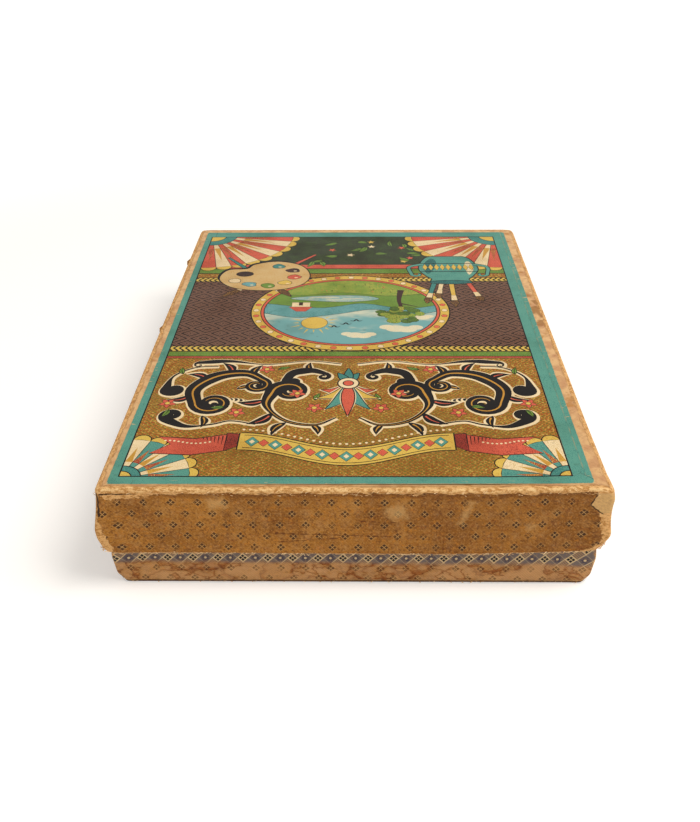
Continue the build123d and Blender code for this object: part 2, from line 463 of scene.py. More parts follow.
def cornerStay(name, tray, signX, signY):
    up = tray["up"]
    low = tray["panel"] - up * boardThickness
    corner = tray["corner"]
    centre = (tray["halfWidth"] - corner, tray["halfLength"] - corner)
    mesh = bmesh.new()
    path = [(centre[0] - d, tray["halfLength"]) for d in steps(stay["leg"], 0, 3)]
    turns = np.radians(range(15, 90, 15))
    path += [(centre[0] + corner * math.sin(a), centre[1] + corner * math.cos(a)) for a in turns]
    path += [(tray["halfWidth"], centre[1] - d) for d in steps(0, stay["leg"], 3)]
    heights = steps(low, tray["rim"] + up * 0.6, 2.5)
    inset = paperThickness + stay["underCover"]
    grid = []
    for height in heights:
        points = []
        for px, py in path:
            if px <= centre[0]:
                pull = Vector((0, -inset))
            elif py <= centre[1]:
                pull = Vector((-inset, 0))
            else:
                pull = Vector((centre[0] - px, centre[1] - py)).normalized() * inset
            points.append((signX * (px + pull.x), signY * (py + pull.y), height))
        grid.append([mesh.verts.new(Vector(p) * mm) for p in handled(points, tray)])
    for a, b in zip(grid, grid[1:]):
        for i in range(len(path) - 1):
            mesh.faces.new((a[i], b[i], b[i + 1], a[i + 1])).smooth = True
    piece = fromBmesh(name, mesh)
    thick = piece.modifiers.new("thickness", "SOLIDIFY")
    thick.thickness = stay["thickness"] * mm
    thick.offset = -1 if signX * signY * up > 0 else 1
    return facedOutwards(applied(piece))


# The small diaper print on the cover paper: clusters of four diamonds, dots between them, and fine cream lines.
diaper = {"down": 9.8, "clusterInner": 0.018, "clusterOuter": 0.163, "line": 0.212, "lineHalf": 0.02, "dot": 0.088}


def diaperPrint(r, tray):
    wander = r.noise(14.0, 2.0, seed=4)
    u, v, _ = r.split(r.sheetPlace())
    laid = tray["print"]
    v = r.add(v, laid["up"], r.times(u, laid["lean"]))
    u = r.add(u, laid["along"], r.times(wander, 0.5), r.times(r.rise(u, -15.0, -95.0), laid["stretched"]))
    columns, rows = r.math("DIVIDE", u, laid["across"]), r.math("DIVIDE", v, diaper["down"])
    a, b = r.add(columns, rows), r.minus(columns, rows)
    hatch = r.rise(r.math("PINGPONG", r.times(a, 9.0), 0.5), 0.18, 0.3)
    a, b = r.math("PINGPONG", a, 0.5), r.math("PINGPONG", b, 0.5)
    soft = 0.014
    clusters = r.times(*(r.within(f, diaper["clusterInner"], diaper["clusterOuter"], soft) for f in (a, b)))
    diamond = r.times(*(r.rise(f, diaper["line"], diaper["line"] - soft) for f in (a, b)))
    half = diaper["lineHalf"]
    lineA, lineB = (r.within(f, diaper["line"] - half, diaper["line"] + half, soft) for f in (a, b))
    lines = r.largest(lineB, r.times(lineA, r.math("MULTIPLY_ADD", r.rise(b, 0.3, 0.2), 0.7, 0.3)))
    stripe = r.rise(b, diaper["line"], diaper["line"] + soft)
    offA, offB = (r.minus(0.5, f) for f in (a, b))
    ring = r.math("SQRT", r.add(r.times(offA, offA), r.times(offB, offB)))
    dots = r.rise(ring, diaper["dot"], diaper["dot"] - 2 * soft)
    halo = r.rise(ring, 0.36, 0.12)
    centre = r.minus(diamond, clusters, clamp=True)
    inside = r.times(*(r.rise(f, diaper["clusterOuter"], diaper["clusterOuter"] - 3 * soft) for f in (a, b)))
    heart = r.minus(inside, clusters, clamp=True)
    return {
        "clusters": clusters,
        "centre": centre,
        "heart": heart,
        "lines": lines,
        "stripe": stripe,
        "dots": dots,
        "halo": halo,
        "hatch": hatch,
    }


coverInks = {
    "faded": colour(180, 120, 44),
    "fadedDeep": colour(142, 88, 24),
    "fadedPale": colour(196, 142, 76),
    "washed": colour(218, 166, 112),
    "stain": colour(96, 48, 8),
    "rust": colour(158, 84, 24),
    "amber": colour(206, 132, 44),
    # painted shade along the base's foot, where it meets the floor
    "footShade": colour(54, 30, 14),
    "topMargin": colour(232, 186, 130),
    "topRosy": colour(206, 154, 108),
    "inkFaded": colour(40, 20, 8),
    "creamFaded": colour(224, 180, 116),
    # painted highlight for the crest of the lid's rubbed fold
    "foldHighlight": colour(252, 218, 156),
    "blueGrey": colour(114, 102, 98),
    "blueDark": colour(66, 60, 74),
    "tan": colour(170, 132, 90),
    "cream": colour(230, 200, 150),
    "black": colour(18, 15, 20),
    "bare": colour(232, 180, 116),
    "bareShade": colour(188, 132, 70),
    "board": colour(202, 158, 104),
    "crack": colour(46, 26, 14),
}


# A convex patch on the paper, given by its corners in order, as distance round the box and height in millimetres
def patch(r, u, v, corners, rag, jag=2.0, soft=0.15):
    inside = None
    sides = list(zip(corners, corners[1:] + corners[:1]))
    area = sum(a[0] * b[1] - b[0] * a[1] for a, b in sides)
    for a, b in sides:
        length = math.hypot(b[0] - a[0], b[1] - a[1]) * (1 if area > 0 else -1)
        nx, ny = -(b[1] - a[1]) / length, (b[0] - a[0]) / length
        side = r.add(r.times(u, nx), r.times(v, ny), -(a[0] * nx + a[1] * ny))
        inside = side if inside is None else r.least(inside, side)
    return r.rise(r.math("MULTIPLY_ADD", rag, jag, inside), -soft, soft)


# What the years have done to the lid in particular places: bare patches, torn board, cracks and scratches
lidMarks = {
    "board": [([(84.4, 38.2), (86.6, 43.6), (91.6, 44.6), (92.4, 35.2), (88.6, 34.4)], 0.9)],
    "bare": [
        ([(87.9, 35.4), (93.6, 36.0), (93.6, 19.4), (88.8, 20.6)], 2.6),
        ([(-97.0, 32.0), (-89.8, 31.4), (-86.9, 17.0), (-97.0, 17.0)], 1.8),
        ([(-90.6, 45.0), (-69.0, 44.4), (-74.0, 42.0), (-88.6, 40.4)], 2.2),
        ([(89.6, 20.4), (83.0, 17.6), (83.0, 16.6), (93.6, 16.6), (93.6, 21.0)], 1.4),
    ],
    "crack": [
        ([(-90.4, 43.7), (-77.2, 43.35), (-76.6, 43.1), (-90.4, 43.0)], 0.35),
        ([(-91.7, 43.6), (-91.0, 43.6), (-90.1, 34.0), (-90.8, 33.7)], 0.4),
        ([(-96.9, 44.0), (-96.3, 44.0), (-94.6, 33.0), (-95.2, 32.6)], 0.7),
        ([(84.3, 38.4), (86.3, 43.7), (86.6, 43.5), (84.7, 38.1)], 0.5),
        ([(84.5, 38.0), (88.6, 34.2), (88.8, 34.5), (84.8, 38.4)], 0.5),
    ],
    "scratch": [
        ([(-31.0, 26.6), (14.0, 25.2), (14.0, 24.95), (-31.0, 26.2)], 1.6),
        ([(-27.0, 22.6), (-4.0, 24.6), (-4.0, 24.4), (-27.0, 22.3)], 1.5),
        ([(2.0, 32.0), (16.0, 31.2), (16.0, 31.0), (2.0, 31.7)], 1.6),
    ],
    "rubbed": [
        ([(12.0, 37.6), (18.5, 38.4), (19.5, 33.6), (13.0, 32.8)], 5.0),
        ([(42.0, 40.0), (44.0, 40.0), (39.5, 31.0), (38.4, 31.0)], 4.0),
        ([(63.0, 29.4), (65.5, 30.2), (66.5, 28.8), (63.5, 28.0)], 3.0),
        ([(-52.0, 40.5), (-47.0, 41.5), (-46.0, 38.0), (-51.0, 37.0)], 4.0),
    ],
}


# Lays cover paper: knows where a point lies on the flat sheet, a few sizes of noise there, and the print.
class CoverRecipe(Recipe):
    def __init__(self, name, tray):
        super().__init__(name, roughness=0.72, specular=0.2)
        self.diamonds = diaperPrint(self, tray)
        self.u, self.v, _ = self.split(self.sheetPlace())
        self.onSheet = self.join(self.u, self.v, 0.0)
        self.along = self.join(self.times(self.u, 0.26), self.v, 3.0)
        self.middle = self.sheetNoise(5.0, 4, 2)
        self.fine = self.sheetNoise(0.8, 3, 3)
        self.rag = self.minus(self.sheetNoise(2.2, 5, 6, 0.62), 0.5)
        self.streak = self.minus(self.noise(1.5, 5, place=self.along, seed=7, roughness=0.62), 0.5)
        self.topEdge = self.minus(tray["panel"], self.v)
        self.nearEnd = self.rise(self.y, -tray["halfLength"] + 3, -tray["halfLength"] + 1)

    def sheetNoise(self, size, detail, seed, roughness=0.5):
        return self.noise(size, detail, place=self.onSheet, seed=seed, roughness=roughness)


def marks(r, kind, soft=0.15, wander=3.0):
    u = r.math("MULTIPLY_ADD", r.minus(r.noise(1.5, 4, seed=71), 0.5), wander, r.u)
    v = r.math("MULTIPLY_ADD", r.minus(r.noise(1.5, 4, seed=72), 0.5), wander, r.v)
    return r.largest(*(patch(r, u, v, corners, r.rag, jag, soft) for corners, jag in lidMarks[kind]), 0.0)


# The brown that light and hands have left, and what is still to be seen of the print
def fadedPaper(r, onLid):
    shades = coverInks
    faded = r.mix(r.rise(r.sheetNoise(24, 3, 1), 0.34, 0.62), shades["fadedDeep"], shades["faded"])
    faded = r.touch(faded, shades["fadedPale"], r.middle, 0.48, 0.72, 0.5)
    faded = r.touch(faded, shades["stain"], r.sheetNoise(2.2, 5, 8, 0.6), 0.54, 0.7, 0.55)
    faded = r.touch(faded, shades["rust"], r.noise(1.3, 4, place=r.along, seed=10), 0.55, 0.68, 0.35)
    faded = r.touch(faded, shades["fadedPale"], r.fine, 0.48, 0.62, 0.5)
    faded = r.touch(faded, shades["stain"], r.sheetNoise(0.75, 4, 19, 0.6), 0.52, 0.62, 0.62)
    faded = r.touch(faded, shades["amber"], r.sheetNoise(1.1, 3, 20), 0.58, 0.66, 0.55)
    if onLid:
        faded = r.touch(faded, shades["stain"], r.u, -60.0, 90.0, 0.14)
    else:
        faded = r.mix(0.3, faded, shades["washed"])
        for size, seed, strength in ((11.0, 11, 0.5), (5.0, 22, 0.4)):
            wash = r.noise(size, 5, place=r.join(r.times(r.u, 0.62), r.v, 7.0), seed=seed)
            faded = r.touch(faded, shades["washed"], wash, 0.47, 0.58, strength)
            faded = r.mix(r.times(r.within(wash, 0.43, 0.475, 0.016), strength * 1.3), faded, shades["rust"])
            faded = r.mix(r.times(r.within(wash, 0.46, 0.476, 0.006), strength * 1.5), faded, shades["stain"])
    patchy = r.rise(r.sheetNoise(3.4, 3, 9), 0.26, 0.56)
    worn = r.rise(r.sheetNoise(0.55, 2, 13), 0.28, 0.46)
    strength = 1.0 if onLid else 0.72
    faded = r.mix(r.times(r.diamonds["lines"], patchy, 0.05), faded, shades["creamFaded"])
    faded = r.mix(r.times(r.diamonds["hatch"], 0.12), faded, shades["stain"])
    faded = r.mix(r.times(r.diamonds["halo"], 0.07, patchy), faded, shades["blueGrey"])
    paleShares = (("dots", 0.2), ("centre", 0.22), ("heart", 0.7))
    paleLeft = r.add(*(r.times(r.diamonds[part], share) for part, share in paleShares))
    faded = r.mix(r.times(paleLeft, worn, patchy, 0.7), faded, shades["creamFaded"])
    inkLeft = r.math("MULTIPLY_ADD", patchy, 0.58 * strength, 0.3 * strength)
    return r.mix(r.times(r.diamonds["clusters"], worn, inkLeft), faded, shades["inkFaded"])


# The print where the lid has kept the light off it
def freshPaper(r):
    shades = coverInks
    fresh = r.mix(r.diamonds["hatch"], shades["tan"], shades["blueGrey"])
    fresh = r.mix(r.diamonds["stripe"], fresh, shades["blueGrey"])
    fresh = r.mix(r.times(r.diamonds["halo"], r.diamonds["stripe"], 0.85), fresh, shades["blueDark"])
    fresh = r.touch(fresh, shades["tan"], r.fine, 0.45, 0.66, 0.35)
    paleInk = r.largest(*(r.diamonds[part] for part in ("lines", "centre", "dots")))
    fresh = r.mix(r.times(paleInk, 0.9), fresh, shades["cream"])
    return r.mix(r.times(r.diamonds["clusters"], 0.96), fresh, shades["black"])


# The margin turned over the lid's panel, paler than the walls
def lidMargin(r):
    shades = coverInks
    margin = r.mix(r.rise(r.middle, 0.4, 0.64), shades["topMargin"], shades["topRosy"])
    margin = r.mix(r.times(r.diamonds["clusters"], 0.1), margin, shades["stain"])
    margin = r.touch(margin, shades["faded"], r.noise(8, 4, seed=12), 0.58, 0.68, 0.6)
    margin = r.touch(margin, shades["rust"], r.noise(2.6, 4, seed=16), 0.6, 0.72, 0.45)
    thumbed = r.times(r.rise(r.x, 84.0, 86.0), r.within(r.y, -2.0, 40.0, 8.0))
    blotch = r.rise(r.noise(7.0, 4, seed=26), 0.44, 0.56)
    margin = r.mix(r.times(thumbed, blotch, 0.75), margin, shades["fadedDeep"])
    return r.touch(margin, shades["bareShade"], r.y, 40.0, -128.0, 0.2)


# How far the folds are rubbed through: the panel's edge, the rim, and the upright corners
def rubbedFolds(r, tray, visible):
    _, _, corner = r.split(r.attribute("foldGap"))
    if tray is lid:
        cornerReach = (1.5, 0.7)
        width = r.math("MULTIPLY_ADD", r.nearEnd, 1.15, 0.7)
        onWall = r.rise(r.add(r.topEdge, r.times(r.streak, 5.5), r.times(width, -1.0)), 0.25, -0.25)
        rubFold = r.times(onWall, r.rise(r.add(r.topEdge, r.times(r.streak, 4.0)), -2.6, -1.2))
    else:
        cornerReach = (0.9, 0.3)
        foot = r.within(r.add(r.v, r.times(r.streak, 0.9)), 0.75, 1.25, 0.15)
        footCorner = r.rise(r.add(r.v, r.times(corner, 0.22), r.times(r.rag, 3.0)), 2.6, 2.0)
        rubFold = r.times(foot, r.rise(r.rag, -0.12, 0.02), 0.8)
        rubFold = r.largest(rubFold, r.times(footCorner, r.rise(r.v, 0.3, 0.8)))
    fromRim = r.math("ABSOLUTE", r.minus(r.v, tray["rim"]))
    rubRim = r.rise(r.add(fromRim, r.times(r.streak, 2.2)), 0.55, 0.25)
    rubCorner = r.times(r.rise(r.add(corner, r.times(r.rag, 4.0)), *cornerReach), visible)
    return r.largest(rubFold, r.times(rubRim, 0.85), r.times(rubCorner, 0.85))


# Paper as it looks after a century: print, fading, stains, rubbed folds and bare patches.
def coverMaterial(name, tray):
    r = CoverRecipe(name, tray)
    shades, onLid = coverInks, tray is lid
    panel, rim = tray["panel"], tray["rim"]
    faded, fresh = fadedPaper(r, onLid), freshPaper(r)
    if onLid:
        edge = r.add(r.v, r.times(r.streak, 3.0))
        shown = r.mix(r.rise(edge, panel - 0.9, panel - 0.1), faded, lidMargin(r))
        hidden = r.rise(r.v, rim + 0.2, rim - 1.4)
        shown = r.mix(hidden, shown, fresh)
        visible = r.minus(1.0, hidden)
    else:
        edge = r.add(8.6, r.times(r.sheetNoise(15, 4, 14), 2.4), r.times(r.u, -0.007))
        shown = r.mix(r.rise(r.minus(r.v, edge), -1.6, 1.1), faded, fresh)
        # painted shade: darker along the foot and round under the turned edge, where the base meets the floor
        shown = r.mix(r.times(r.rise(r.v, 1.0, 0.35), r.rise(r.v, -2.0, -0.5), 0.8), shown, shades["footShade"])
        visible = 1.0

    rub = rubbedFolds(r, tray, visible)
    fray = r.noise(0.9, 5, place=r.join(r.times(r.u, 0.6), r.v, 5.0), seed=17, roughness=0.66)
    bare = r.mix(r.rise(fray, 0.46, 0.6), shades["bare"], shades["bareShade"])
    bare = r.touch(bare, shades["rust"], r.sheetNoise(0.6, 3, 18), 0.6, 0.68, 0.6)
    if onLid:
        boardPatch = marks(r, "board", 0.12, 1.2)
        rub = r.largest(rub, boardPatch, marks(r, "bare"))
        bare = r.mix(boardPatch, bare, r.mix(r.rise(r.fine, 0.3, 0.7), shades["board"], shades["creamFaded"]))
        # painted highlight: near-white cream in broken spots along the crest of the rubbed fold, at the near end
        highlightBand = r.within(r.add(r.topEdge, r.times(r.streak, 3.0)), -0.6, 0.9, 0.4)
        foldHighlight = r.times(highlightBand, r.rise(fray, 0.5, 0.42), r.nearEnd)
        bare = r.mix(r.times(foldHighlight, 0.6), bare, shades["foldHighlight"])
        under = r.times(r.rise(r.add(r.topEdge, r.times(r.streak, 6.0)), 4.6, 1.8), r.nearEnd, 0.6)
        shown = r.mix(under, shown, shades["stain"])
        shown = r.mix(r.times(marks(r, "rubbed", 1.8), 0.45), shown, shades["creamFaded"])
    shown = r.mix(r.times(r.rise(rub, 0.02, 0.5), r.rise(rub, 0.98, 0.5), 0.6), shown, shades["stain"])
    shown = r.mix(rub, shown, bare)
    if onLid:
        shown = r.mix(r.times(marks(r, "scratch", 0.12, 1.2), 0.85), shown, shades["stain"])
        shown = r.mix(r.times(marks(r, "crack", 0.12, 1.2), 0.94), shown, shades["crack"])
    grain = r.noise(0.3, 2, seed=5)
    shown = r.touch(shown, colour(96, 62, 30), grain, 0.3, 0.7, 0.16, "MULTIPLY")

    relief = r.bump(r.minus(1.0, rub), 0.16, 0.9)
    relief = r.bump(r.middle, 0.2, 0.5, relief)
    relief = r.bump(r.fine, 0.07, 0.7, relief)
    relief = r.bump(grain, 0.03, 0.7, relief)
    return r.finish(shown, relief, r.math("MULTIPLY_ADD", rub, 0.16, 0.62))


# Strawboard: short pale fibres in a tan pulp, darker where it has been handled.
def strawboardMaterial(name):
    r = Recipe(name, roughness=0.88, specular=0.15)
    pulp = r.mix(r.rise(r.noise(30, 3, seed=21), 0.3, 0.7), colour(186, 150, 102), colour(168, 130, 84))
    fibres = r.rise(r.noise(0.9, 3, stretch=(0.35, 1.5, 1.2), seed=22), 0.58, 0.7)
    pulp = r.mix(r.times(fibres, 0.35), pulp, colour(216, 188, 142))
    flecks = r.rise(r.cells(3.1, seed=2), 0.12, 0.05)
    pulp = r.mix(r.times(flecks, 0.5), pulp, colour(106, 74, 42))
    foxing = r.rise(r.noise(9, 4, seed=23), 0.62, 0.74)
    pulp = r.mix(r.times(foxing, 0.35), pulp, colour(138, 92, 50))
    relief = r.bump(r.noise(1.1, 4, stretch=(0.5, 1.4, 1.2), seed=24), 0.12, 0.7)
    relief = r.bump(r.noise(0.25, 2, seed=25), 0.04, 0.6, relief)
    return r.finish(pulp, relief)


def stayMaterial(name):
    r = Recipe(name, roughness=0.8, specular=0.2)
    paper = r.mix(r.rise(r.noise(8, 3, seed=31), 0.35, 0.65), colour(204, 166, 112), colour(186, 144, 92))
    return r.finish(paper, r.bump(r.noise(0.6, 3, seed=32), 0.05, 0.6))


def dress(piece, material):
    piece.data.materials.clear()
    piece.data.materials.append(material)


def place(piece, body, slot, *nodes):
    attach(piece, body)
    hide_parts(*nodes)


lidCover = coverPaper("lidCover", lid, 1.5)
baseCover = coverPaper("baseCover", base, 1.7)
dress(lidCover, coverMaterial("fadedCoverLid", lid))
dress(baseCover, coverMaterial("fadedCoverBase", base))
place(lidCover, "lid", "cover_paper", "lid_cover_paper")
place(baseCover, "base", "cover_paper", "base_cover_paper")
print("cover papers:", len(lidCover.data.polygons), len(baseCover.data.polygons), "faces")

strawboard = strawboardMaterial("strawboard")
lidBoard = foldedBoard("lidBoard", lid)
baseBoard = foldedBoard("baseBoard", base)
for piece, body in ((lidBoard, "lid"), (baseBoard, "base")):
    dress(piece, strawboard)
    place(piece, body, "strawboard", f"{body}_board")
stayPaper = stayMaterial("stayPaper")
for tray, body in ((lid, "lid"), (base, "base")):
    for signY, end in ((-1, "near"), (1, "far")):
        for signX, hand in ((-1, "left"), (1, "right")):
            piece = cornerStay(f"{body}Stay_{end}_{hand}", tray, signX, signY)
            dress(piece, stayPaper)
            place(piece, body, "stay_paper", f"{body}_corner_stay_{end}_{hand}")
print("boards and corner stays made")

# The label's print, drawn in millimetres with its top towards the near end, as flat shapes laid one over another
label = {
    "borders": {"left": 3.7, "right": 7.4, "near": 4.9, "far": 7.6},
    "keyline": 0.55,
    "outline": 0.45,
    "gridStep": 7.0,
    "medallion": (42.0, 36.0),
    "medallionAt": (0.0, -20.0),
    "clothBand": (-55.0, 18.0),
    "scrollPen": 7.4,
    "stretch": (1.1, 1.0),  # how far the damp sheet crept to the left and to the near end when it was pasted
    "stretchReach": 90.0,  # how far from the near left corner that is felt
}
inks = {
    "teal": colour(93, 150, 131),
    "tealDeep": colour(58, 118, 110),
    "black": colour(24, 19, 16),
    "gold": colour(186, 136, 58),
    "goldGreen": colour(150, 134, 58),
    "cream": colour(238, 212, 166),
    "creamDim": colour(212, 178, 122),
    "coral": colour(214, 98, 72),
    "coralDeep": colour(160, 62, 48),
    "yellow": colour(218, 182, 84),
    "ochre": colour(196, 140, 56),
    "green": colour(116, 146, 58),
    "greenDeep": colour(70, 92, 42),
    "night": colour(48, 48, 34),
    "brown": colour(108, 74, 58),
    "brownDeep": colour(66, 44, 36),
    "sky": colour(116, 164, 160),
    "skyPale": colour(206, 204, 176),
}
patterns = {"plain": 0, "gold": 1, "sky": 2, "cloth": 3, "chevron": 4}
printShapes = []


# Lays a shape over what is there: its ink, the ink stippled into it, how much of that, and its pattern.
def printed(points, ink, second=None, amount=0.0, pattern="plain", clip=None):
    printShapes.append((np.array(points, float), inks[ink], inks[second or ink], amount, patterns[pattern], clip))


def smoothLine(points, count=7, closed=False):
    p = np.array(points, float)
    p = np.vstack((p[-1], p, p[0], p[1])) if closed else np.vstack((2 * p[0] - p[1], p, 2 * p[-1] - p[-2]))
    t = np.linspace(0, 1, count, endpoint=False)[:, None]
    parts = [
        0.5 * (2 * b + (c - a) * t + (2 * a - 5 * b + 4 * c - d) * t**2 + (3 * b - a - 3 * c + d) * t**3)
        for a, b, c, d in zip(p, p[1:], p[2:], p[3:])
    ]
    return np.vstack(parts if closed else parts + [p[-2][None]])


# Carries a line on into a curl that leaves it smoothly.
def curled(line, radius, turns, hand):
    ahead = line[-1] - line[-2]
    ahead = ahead / np.linalg.norm(ahead)
    start = -hand * np.array((-ahead[1], ahead[0]))
    t = np.linspace(0, 1, int(20 * turns) + 2)[1:]
    angle = hand * t * turns * 2 * math.pi
    reach = radius * (1 - 0.78 * t)
    c, s = np.cos(angle), np.sin(angle)
    turned = np.stack((start[0] * c - start[1] * s, start[0] * s + start[1] * c), 1)
    return np.vstack((line, line[-1] - start * radius + turned * reach[:, None]))


def penStroke(line, widths):
    line = np.array(line, float)
    ahead = np.gradient(line, axis=0)
    ahead /= np.maximum(np.linalg.norm(ahead, axis=1)[:, None], 1e-6)
    side = np.stack((-ahead[:, 1], ahead[:, 0]), 1)
    width = np.interp(np.linspace(0, 1, len(line)), np.linspace(0, 1, len(widths)), widths)[:, None] / 2
    return np.vstack((line + side * width, (line - side * width)[::-1]))


def atAngle(x, y, reach, angle):
    return (x + reach * math.cos(angle), y + reach * math.sin(angle))


def oval(x, y, rx, ry=None, count=28):
    angles = np.radians(np.linspace(0, 360, count, endpoint=False))
    return np.stack((x + rx * np.cos(angles), y + (ry or rx) * np.sin(angles)), 1)


def slab(x0, y0, x1, y1):
    return np.array(((x0, y0), (x1, y0), (x1, y1), (x0, y1)))


def leafOutline(x, y, length, width, angle, bend=0.0):
    t = np.linspace(0, 1, 12)
    half = width / 2 * np.sin(np.pi * t**0.8)
    spine = np.stack((length * t, bend * length * np.sin(np.pi * t) / 2), 1)
    shape = np.vstack((spine + np.stack((0 * t, half), 1), (spine - np.stack((0 * t, half), 1))[::-1]))
    c, s = math.cos(math.radians(angle)), math.sin(math.radians(angle))
    return shape @ np.array(((c, s), (-s, c))) + (x, y)


def mirrored(points, sign):
    return np.array(points, float) * (sign, 1)


# A shape with the black key line round it
def keyed(points, ink, second=None, amount=0.0, pattern="plain", clip=None, line=None):
    points = np.array(points, float)
    line = label["outline"] if line is None else line
    closed = np.vstack((points, points[:2]))
    printed(penStroke(closed, (2 * line, 2 * line)), "black", clip=clip)
    printed(points, ink, second, amount, pattern, clip)


# The middle line of a leaf's outline
def spineOf(shape):
    half = len(shape) // 2
    return (shape[:half] + shape[half:][::-1]) / 2


def leafSprig(x, y, length, width, angle):
    shape = leafOutline(x, y, length, width, angle, 0.15)
    keyed(shape, "green", "greenDeep", 0.35, line=0.28)
    printed(penStroke(spineOf(shape)[:-1], (0.5, 0.15)), "black")


def drawGround():
    printed(slab(-90, -130, 90, 130), "gold", "goldGreen", 1.0, "gold")
    low, high = label["clothBand"]
    printed(slab(-85, -122, 85, -76), "night", "greenDeep", 0.35)
    for y0, y1, ink, second, pattern in (
        (-77.5, -72.5, "coral", "coralDeep", "plain"),
        (-72.5, -71.7, "black", None, "plain"),
        (-71.7, -66.0, "green", "greenDeep", "plain"),
        (-66.0, -65.3, "black", None, "plain"),
        (low - 4.8, low, "yellow", "black", "chevron"),
        (low, high, "brown", "brownDeep", "cloth"),
        (high, high + 4.8, "yellow", "black", "chevron"),
        (high + 5.5, high + 9.5, "green", "greenDeep", "plain"),
        (high + 10.2, high + 11.2, "coral", "coralDeep", "plain"),
    ):
        printed(slab(-85, y0, 85, y1), ink, second, 0.4, pattern)
    for y in (low - 5.3, low - 0.3, high - 0.3, high + 4.8, high + 9.5, high + 11.2):
        printed(slab(-85, y, 85, y + 0.6), "black")
    rng = random.Random(8)
    for i in range(34):
        x, y = rng.uniform(-52, 52), rng.uniform(-117, -81)
        if i % 3:
            leafSprig(x, y, rng.uniform(6, 9), rng.uniform(2.2, 3.2), rng.uniform(0, 360))
        else:
            star = [atAngle(x, y, 2.3 if k % 2 else 0.9, k * math.pi / 5 + i) for k in range(10)]
            printed(star, ("yellow", "coral", "cream")[i // 3 % 3])


def drawFans():
    for sign in (-1, 1):
        for cornerY, reach, ribs, turn in ((-120.6, 47.0, 9, 1), (120.6, 25.0, 6, -1)):
            at = (81.2, cornerY)
            step = 90 / ribs
            blades = (("coral", "coralDeep") if turn > 0 else ("teal", "tealDeep"), ("cream", "creamDim"))
            start = 90.0 if turn > 0 else 180.0
            tips = []
            for i in range(ribs):
                middle = math.radians(start + (i + 0.5) * step)
                tips.append(oval(*atAngle(*at, reach, middle), reach * math.radians(step) / 2, count=14))
            for rim in tips:
                keyed(mirrored(rim, sign), "yellow", "ochre", 0.3)
            for i in range(ribs):
                a, b = math.radians(start + i * step), math.radians(start + (i + 1) * step)
                blade = [at] + [atAngle(*at, reach, c) for c in (a, (a + b) / 2, b)]
                keyed(mirrored(blade, sign), *blades[i % 2], 0.35, line=0.3)
                inner = [atAngle(*at, reach * r, c) for r, c in ((0.42, a), (0.42, b), (0.8, (a + b) / 2))]
                printed(mirrored(inner, sign), "ochre" if i % 2 else "coralDeep", "yellow", 0.3)
            hub = oval(at[0], at[1], reach * 0.3, count=30)
            keyed(mirrored(hub, sign), "tealDeep", "teal", 0.4)
            keyed(mirrored(oval(at[0], at[1], reach * 0.17, count=24), sign), "yellow", "ochre", 0.3)


